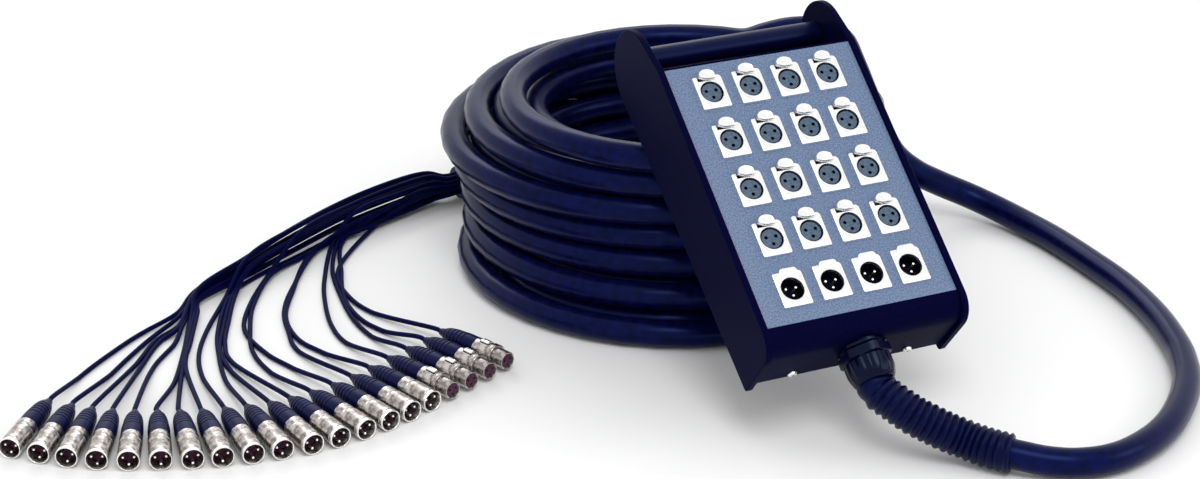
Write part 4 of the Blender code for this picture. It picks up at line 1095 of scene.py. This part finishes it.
def cable_points(frame):
    inside = gland_point(frame, CASE_BOTTOM - SHEET - THREAD_INSIDE)
    route = smooth_route(free_route(frame), CABLE_STEP)
    coil = winding()
    heading = flat_heading(BOOT_TURN)
    end = Vector((BOOT_AT.x, BOOT_AT.y, layer_height(0))) - heading * GAP
    square = end - heading * 2 * CABLE_RADIUS
    bend = (square + coil_point(ENTRY_FROM)) / 2 + Vector((0, 3 * MM, 0))
    tail = smooth_route([coil[-2], coil[-1], bend, square, end], CABLE_STEP)
    skip = round((coil[-1] - coil[-2]).length / CABLE_STEP) + 1
    return [inside] + route + coil + tail[skip:]


def make_cable(frame, jacket):
    points = cable_points(frame)
    cable = put(tube("multicore_cable", points, CABLE_RADIUS, jacket, 6))
    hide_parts("cable_loop", "cable_coil", "coil_core")
    return cable, points


def boot_mesh(used):
    """Breakout boot: rings of grip ribs on a taper."""
    shape = bmesh.new()
    start = CABLE_RADIUS / MM
    end = BOOT_LENGTH / MM
    profile = [(start + 0.3, 0), (start + 1.4, 1)]
    for rib in range(BOOT_RIBS):
        z = 8 + rib * 6
        radius = 15 + 0.4 * rib
        profile += [(radius, z), (radius, z + 3), (radius - 1.2, z + 3.6), (radius - 1.2, z + 5.4)]
    profile += [(17, 40), (17, 56), (16, end), (14, end)]
    turned(shape, in_metres(profile), 40)
    return finish_mesh("breakout_boot", shape, used)


def make_boot(looks):
    at = Matrix.Translation(BOOT_AT) @ Matrix.Rotation(BOOT_TURN, 4, "Z")
    boot = put(boot_mesh([looks["boot"]]), place=at @ QUARTER_Y)
    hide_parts("fan_breakout_boot")
    return boot


# Fan-out

def plug_axis(index):
    x, y, degrees = PLUG_PLACES[index]
    heading = flat_heading(math.radians(degrees))
    widest = PLUG_RADIUS if index < MALE_PLUGS else RING_RADIUS
    mouth = Vector((x * MM, y * MM, widest + FLOOR_CLEAR))
    return mouth, mouth - heading * PLUG_LENGTH, heading


def bundle_place(index):
    """Where a tail lies in the bundle's cross-section, from -1 to 1 across and up."""
    order = len(PLUG_PLACES) - 1 - index
    across = -1 + 2 * order / (len(PLUG_PLACES) - 1)
    up = 0.9 * math.sin(order * 2.4) * math.sqrt(max(0.05, 1 - across * across))
    return across, up


def tail_path(index):
    across, up = bundle_place(index)
    low = TAIL_RADIUS + FLOOR_CLEAR
    stations = [BOOT_AT + flat_heading(BOOT_TURN) * (BOOT_LENGTH + after * MM) for after in (1, 16)]
    radii = [13 * MM, 14 * MM]
    for station in TRUNK_ROUTE:
        stations.append(mm_vector(station))
        radii.append(station[3] * MM)
    leave_x = TAIL_ROUTES[index][0][0] * MM
    points = []
    for number, (station, radius) in enumerate(zip(stations, radii)):
        if station.x < leave_x + 12 * MM:
            break
        ahead = stations[min(number + 1, len(stations) - 1)] - stations[max(number - 1, 0)]
        side = Vector((-ahead.y, ahead.x, 0)).normalized()
        reach = max(radius - TAIL_RADIUS, 1 * MM)
        point = station - side * across * reach + Vector((0, 0, up * reach))
        point.z = max(point.z, low)
        points.append(point)
    _, entry, heading = plug_axis(index)
    for number, (x, y) in enumerate(TAIL_ROUTES[index][:-1]):
        points.append(Vector((x * MM, y * MM, 2.4 * low if number == 0 else low)))
    points.append(entry - heading * (5 * TAIL_RADIUS + GAP))
    points.append(entry - heading * GAP)
    path = smooth_route(points, 5 * MM)
    for point in path:
        point.z = max(point.z, low)
    return path


def make_tails(looks):
    tails = []
    for index in range(len(PLUG_PLACES)):
        path = tail_path(index)
        tail = put(tube(f"fan_tail_{index + 1:02d}", path, TAIL_RADIUS, looks["tail"], 4))
        tails.append((tail, path))
    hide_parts("fan_tails")
    return tails


# Cable plugs

def grip_radius(z):
    """Bell outline of the rubber grip, wide behind the shell, in mm."""
    for (z0, r0), (z1, r1) in zip(GRIP_BELL, GRIP_BELL[1:]):
        if z <= z1:
            return r0 + (r1 - r0) * (z - z0) / (z1 - z0)
    return GRIP_BELL[-1][1]


def add_grip(shape):
    """Rubber grip behind the shell, with shallow grooves towards the tail."""
    profile = list(GRIP_START)
    z, last, step = GROOVES
    while z < last:
        profile += [(grip_radius(z), z), (grip_radius(z) - 0.6, z + 0.5), (grip_radius(z) - 0.7, z + 1.3),
                    (grip_radius(z + 1.8), z + 1.8)]
        z += step
    profile += GRIP_END
    turned(shape, in_metres(profile), PLUG_SIDES, material=2)


def male_plug_mesh(used):
    shape = bmesh.new()
    faces = turned(shape, in_metres(MALE_SHELL), PLUG_SIDES)
    # The rim keeps the bright nickel beside the painted shade on the rest of the shell.
    for face in faces[RIM_FROM * PLUG_SIDES:RIM_TO * PLUG_SIDES]:
        face.material_index = 3
    turned(shape, in_metres(MALE_DISC), PLUG_SIDES, material=1)
    add_grip(shape)
    for centre in pin_places():
        turned(shape, in_metres(PLUG_PIN), 14, centre, 3)
    return finish_mesh("male_plug", shape, used)


def female_plug_mesh(used):
    shape = bmesh.new()
    turned(shape, in_metres(FEMALE_SHELL), PLUG_SIDES)
    turned(shape, in_metres(FEMALE_DISC), PLUG_SIDES, material=1)
    # The contact holes are dark discs of painted shade.
    for centre in pin_places(3.6 * MM):
        turned(shape, in_metres(PLUG_HOLE), 14, centre, 4)
    add_grip(shape)
    # A dark frame of painted shade round the button stands for its pocket.
    half = BUTTON_HALF + 0.4 * MM
    seat = rectangle((-half, BUTTON_FROM - 0.4 * MM), (half, BUTTON_TO + 0.4 * MM), [0.8 * MM] * 4)
    add_rings(shape, [[(x, y, z) for x, z in seat] for y in (8.6 * MM, 9.56 * MM)], 4)
    return finish_mesh("female_plug", shape, used)


def button_mesh(used):
    """Latch button: a rounded tab with three grip grooves across it, drawn as thin dark strips of painted
    shade.
    """
    shape = bmesh.new()
    rings = []
    for inset, y in in_metres(BUTTON_STEPS):
        half = BUTTON_HALF - inset
        outline = rectangle((-half, BUTTON_FROM + inset), (half, BUTTON_TO - inset), [1.2 * MM] * 4)
        rings.append([(x, y, z) for x, z in outline])
    add_rings(shape, rings)
    # Each groove is a thin dark strip of painted shade.
    for z in BUTTON_GROOVES:
        groove = rectangle((-1.6 * MM, (z - 0.3) * MM), (1.6 * MM, (z + 0.3) * MM), [0.2 * MM] * 4)
        add_rings(shape, [[(x, y, at) for x, at in groove] for y in (10.8 * MM, 11.12 * MM)], 1)
    return finish_mesh("latch_button", shape, used)


def make_plugs(looks):
    used = [looks[key] for key in ("plug_nickel_painted_shade", "plug_insert", "boot", "nickel", "dark")]
    male = male_plug_mesh(used)
    female = female_plug_mesh(used)
    button = button_mesh([looks["nickel"], looks["dark"]])
    plugs = []
    for index in range(len(PLUG_PLACES)):
        mouth, _, heading = plug_axis(index)
        turn = math.atan2(heading.y, heading.x) - math.pi / 2
        at = Matrix.Translation(mouth) @ Matrix.Rotation(turn, 4, "Z") @ QUARTER_X
        is_male = index < MALE_PLUGS
        number = index + 1 - MALE_PLUGS
        node = f"male_plug_{index + 1:02d}" if is_male else f"female_plug_{number}"
        plug = put(male if is_male else female, node + "_body", place=at)
        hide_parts(node)
        plugs.append(plug)
        if not is_male:
            latch = put(button, f"latch_button_{number}", f"plug_latch_{number}", at)
            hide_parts(f"plug_latch_{number}")
    return plugs


def dress_nodes(frame_parts, looks):
    """Procedural finishes for the CAD solids that stay in view."""
    finishes = {"case_paint": "case", "panel_paint": "panel", "nickel_plate": "nickel",
                "cable_jacket": "jacket", "black_plastic": "boot"}
    slots = {part["node"]: part["material_slot"] for part in frame_parts["record"]["subparts"]}
    for name, node in frame_parts["nodes"].items():
        node.data.materials.clear()
        node.data.materials.append(looks[finishes[slots[name]]])


def main():
    frame_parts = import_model()
    bpy.context.scene.view_settings.view_transform = "Standard"
    looks = make_materials()
    make_camera()
    make_stage()
    make_world()
    make_lamps()
    dress_nodes(frame_parts, looks)
    frame = box_matrix()
    make_cheeks(frame, looks["case"])
    make_case(frame, looks["case"])
    make_handle(frame, looks["handle"])
    make_panel_plate(frame, looks["panel"])
    make_jacks(frame, looks)
    make_latches(frame, looks)
    make_gland(frame, looks)
    make_screws(frame, looks)
    make_hose(frame, looks["hose"])
    cable, cable_path = make_cable(frame, looks["jacket"])
    boot = make_boot(looks)
    tails = make_tails(looks)
    plugs = make_plugs(looks)


main()
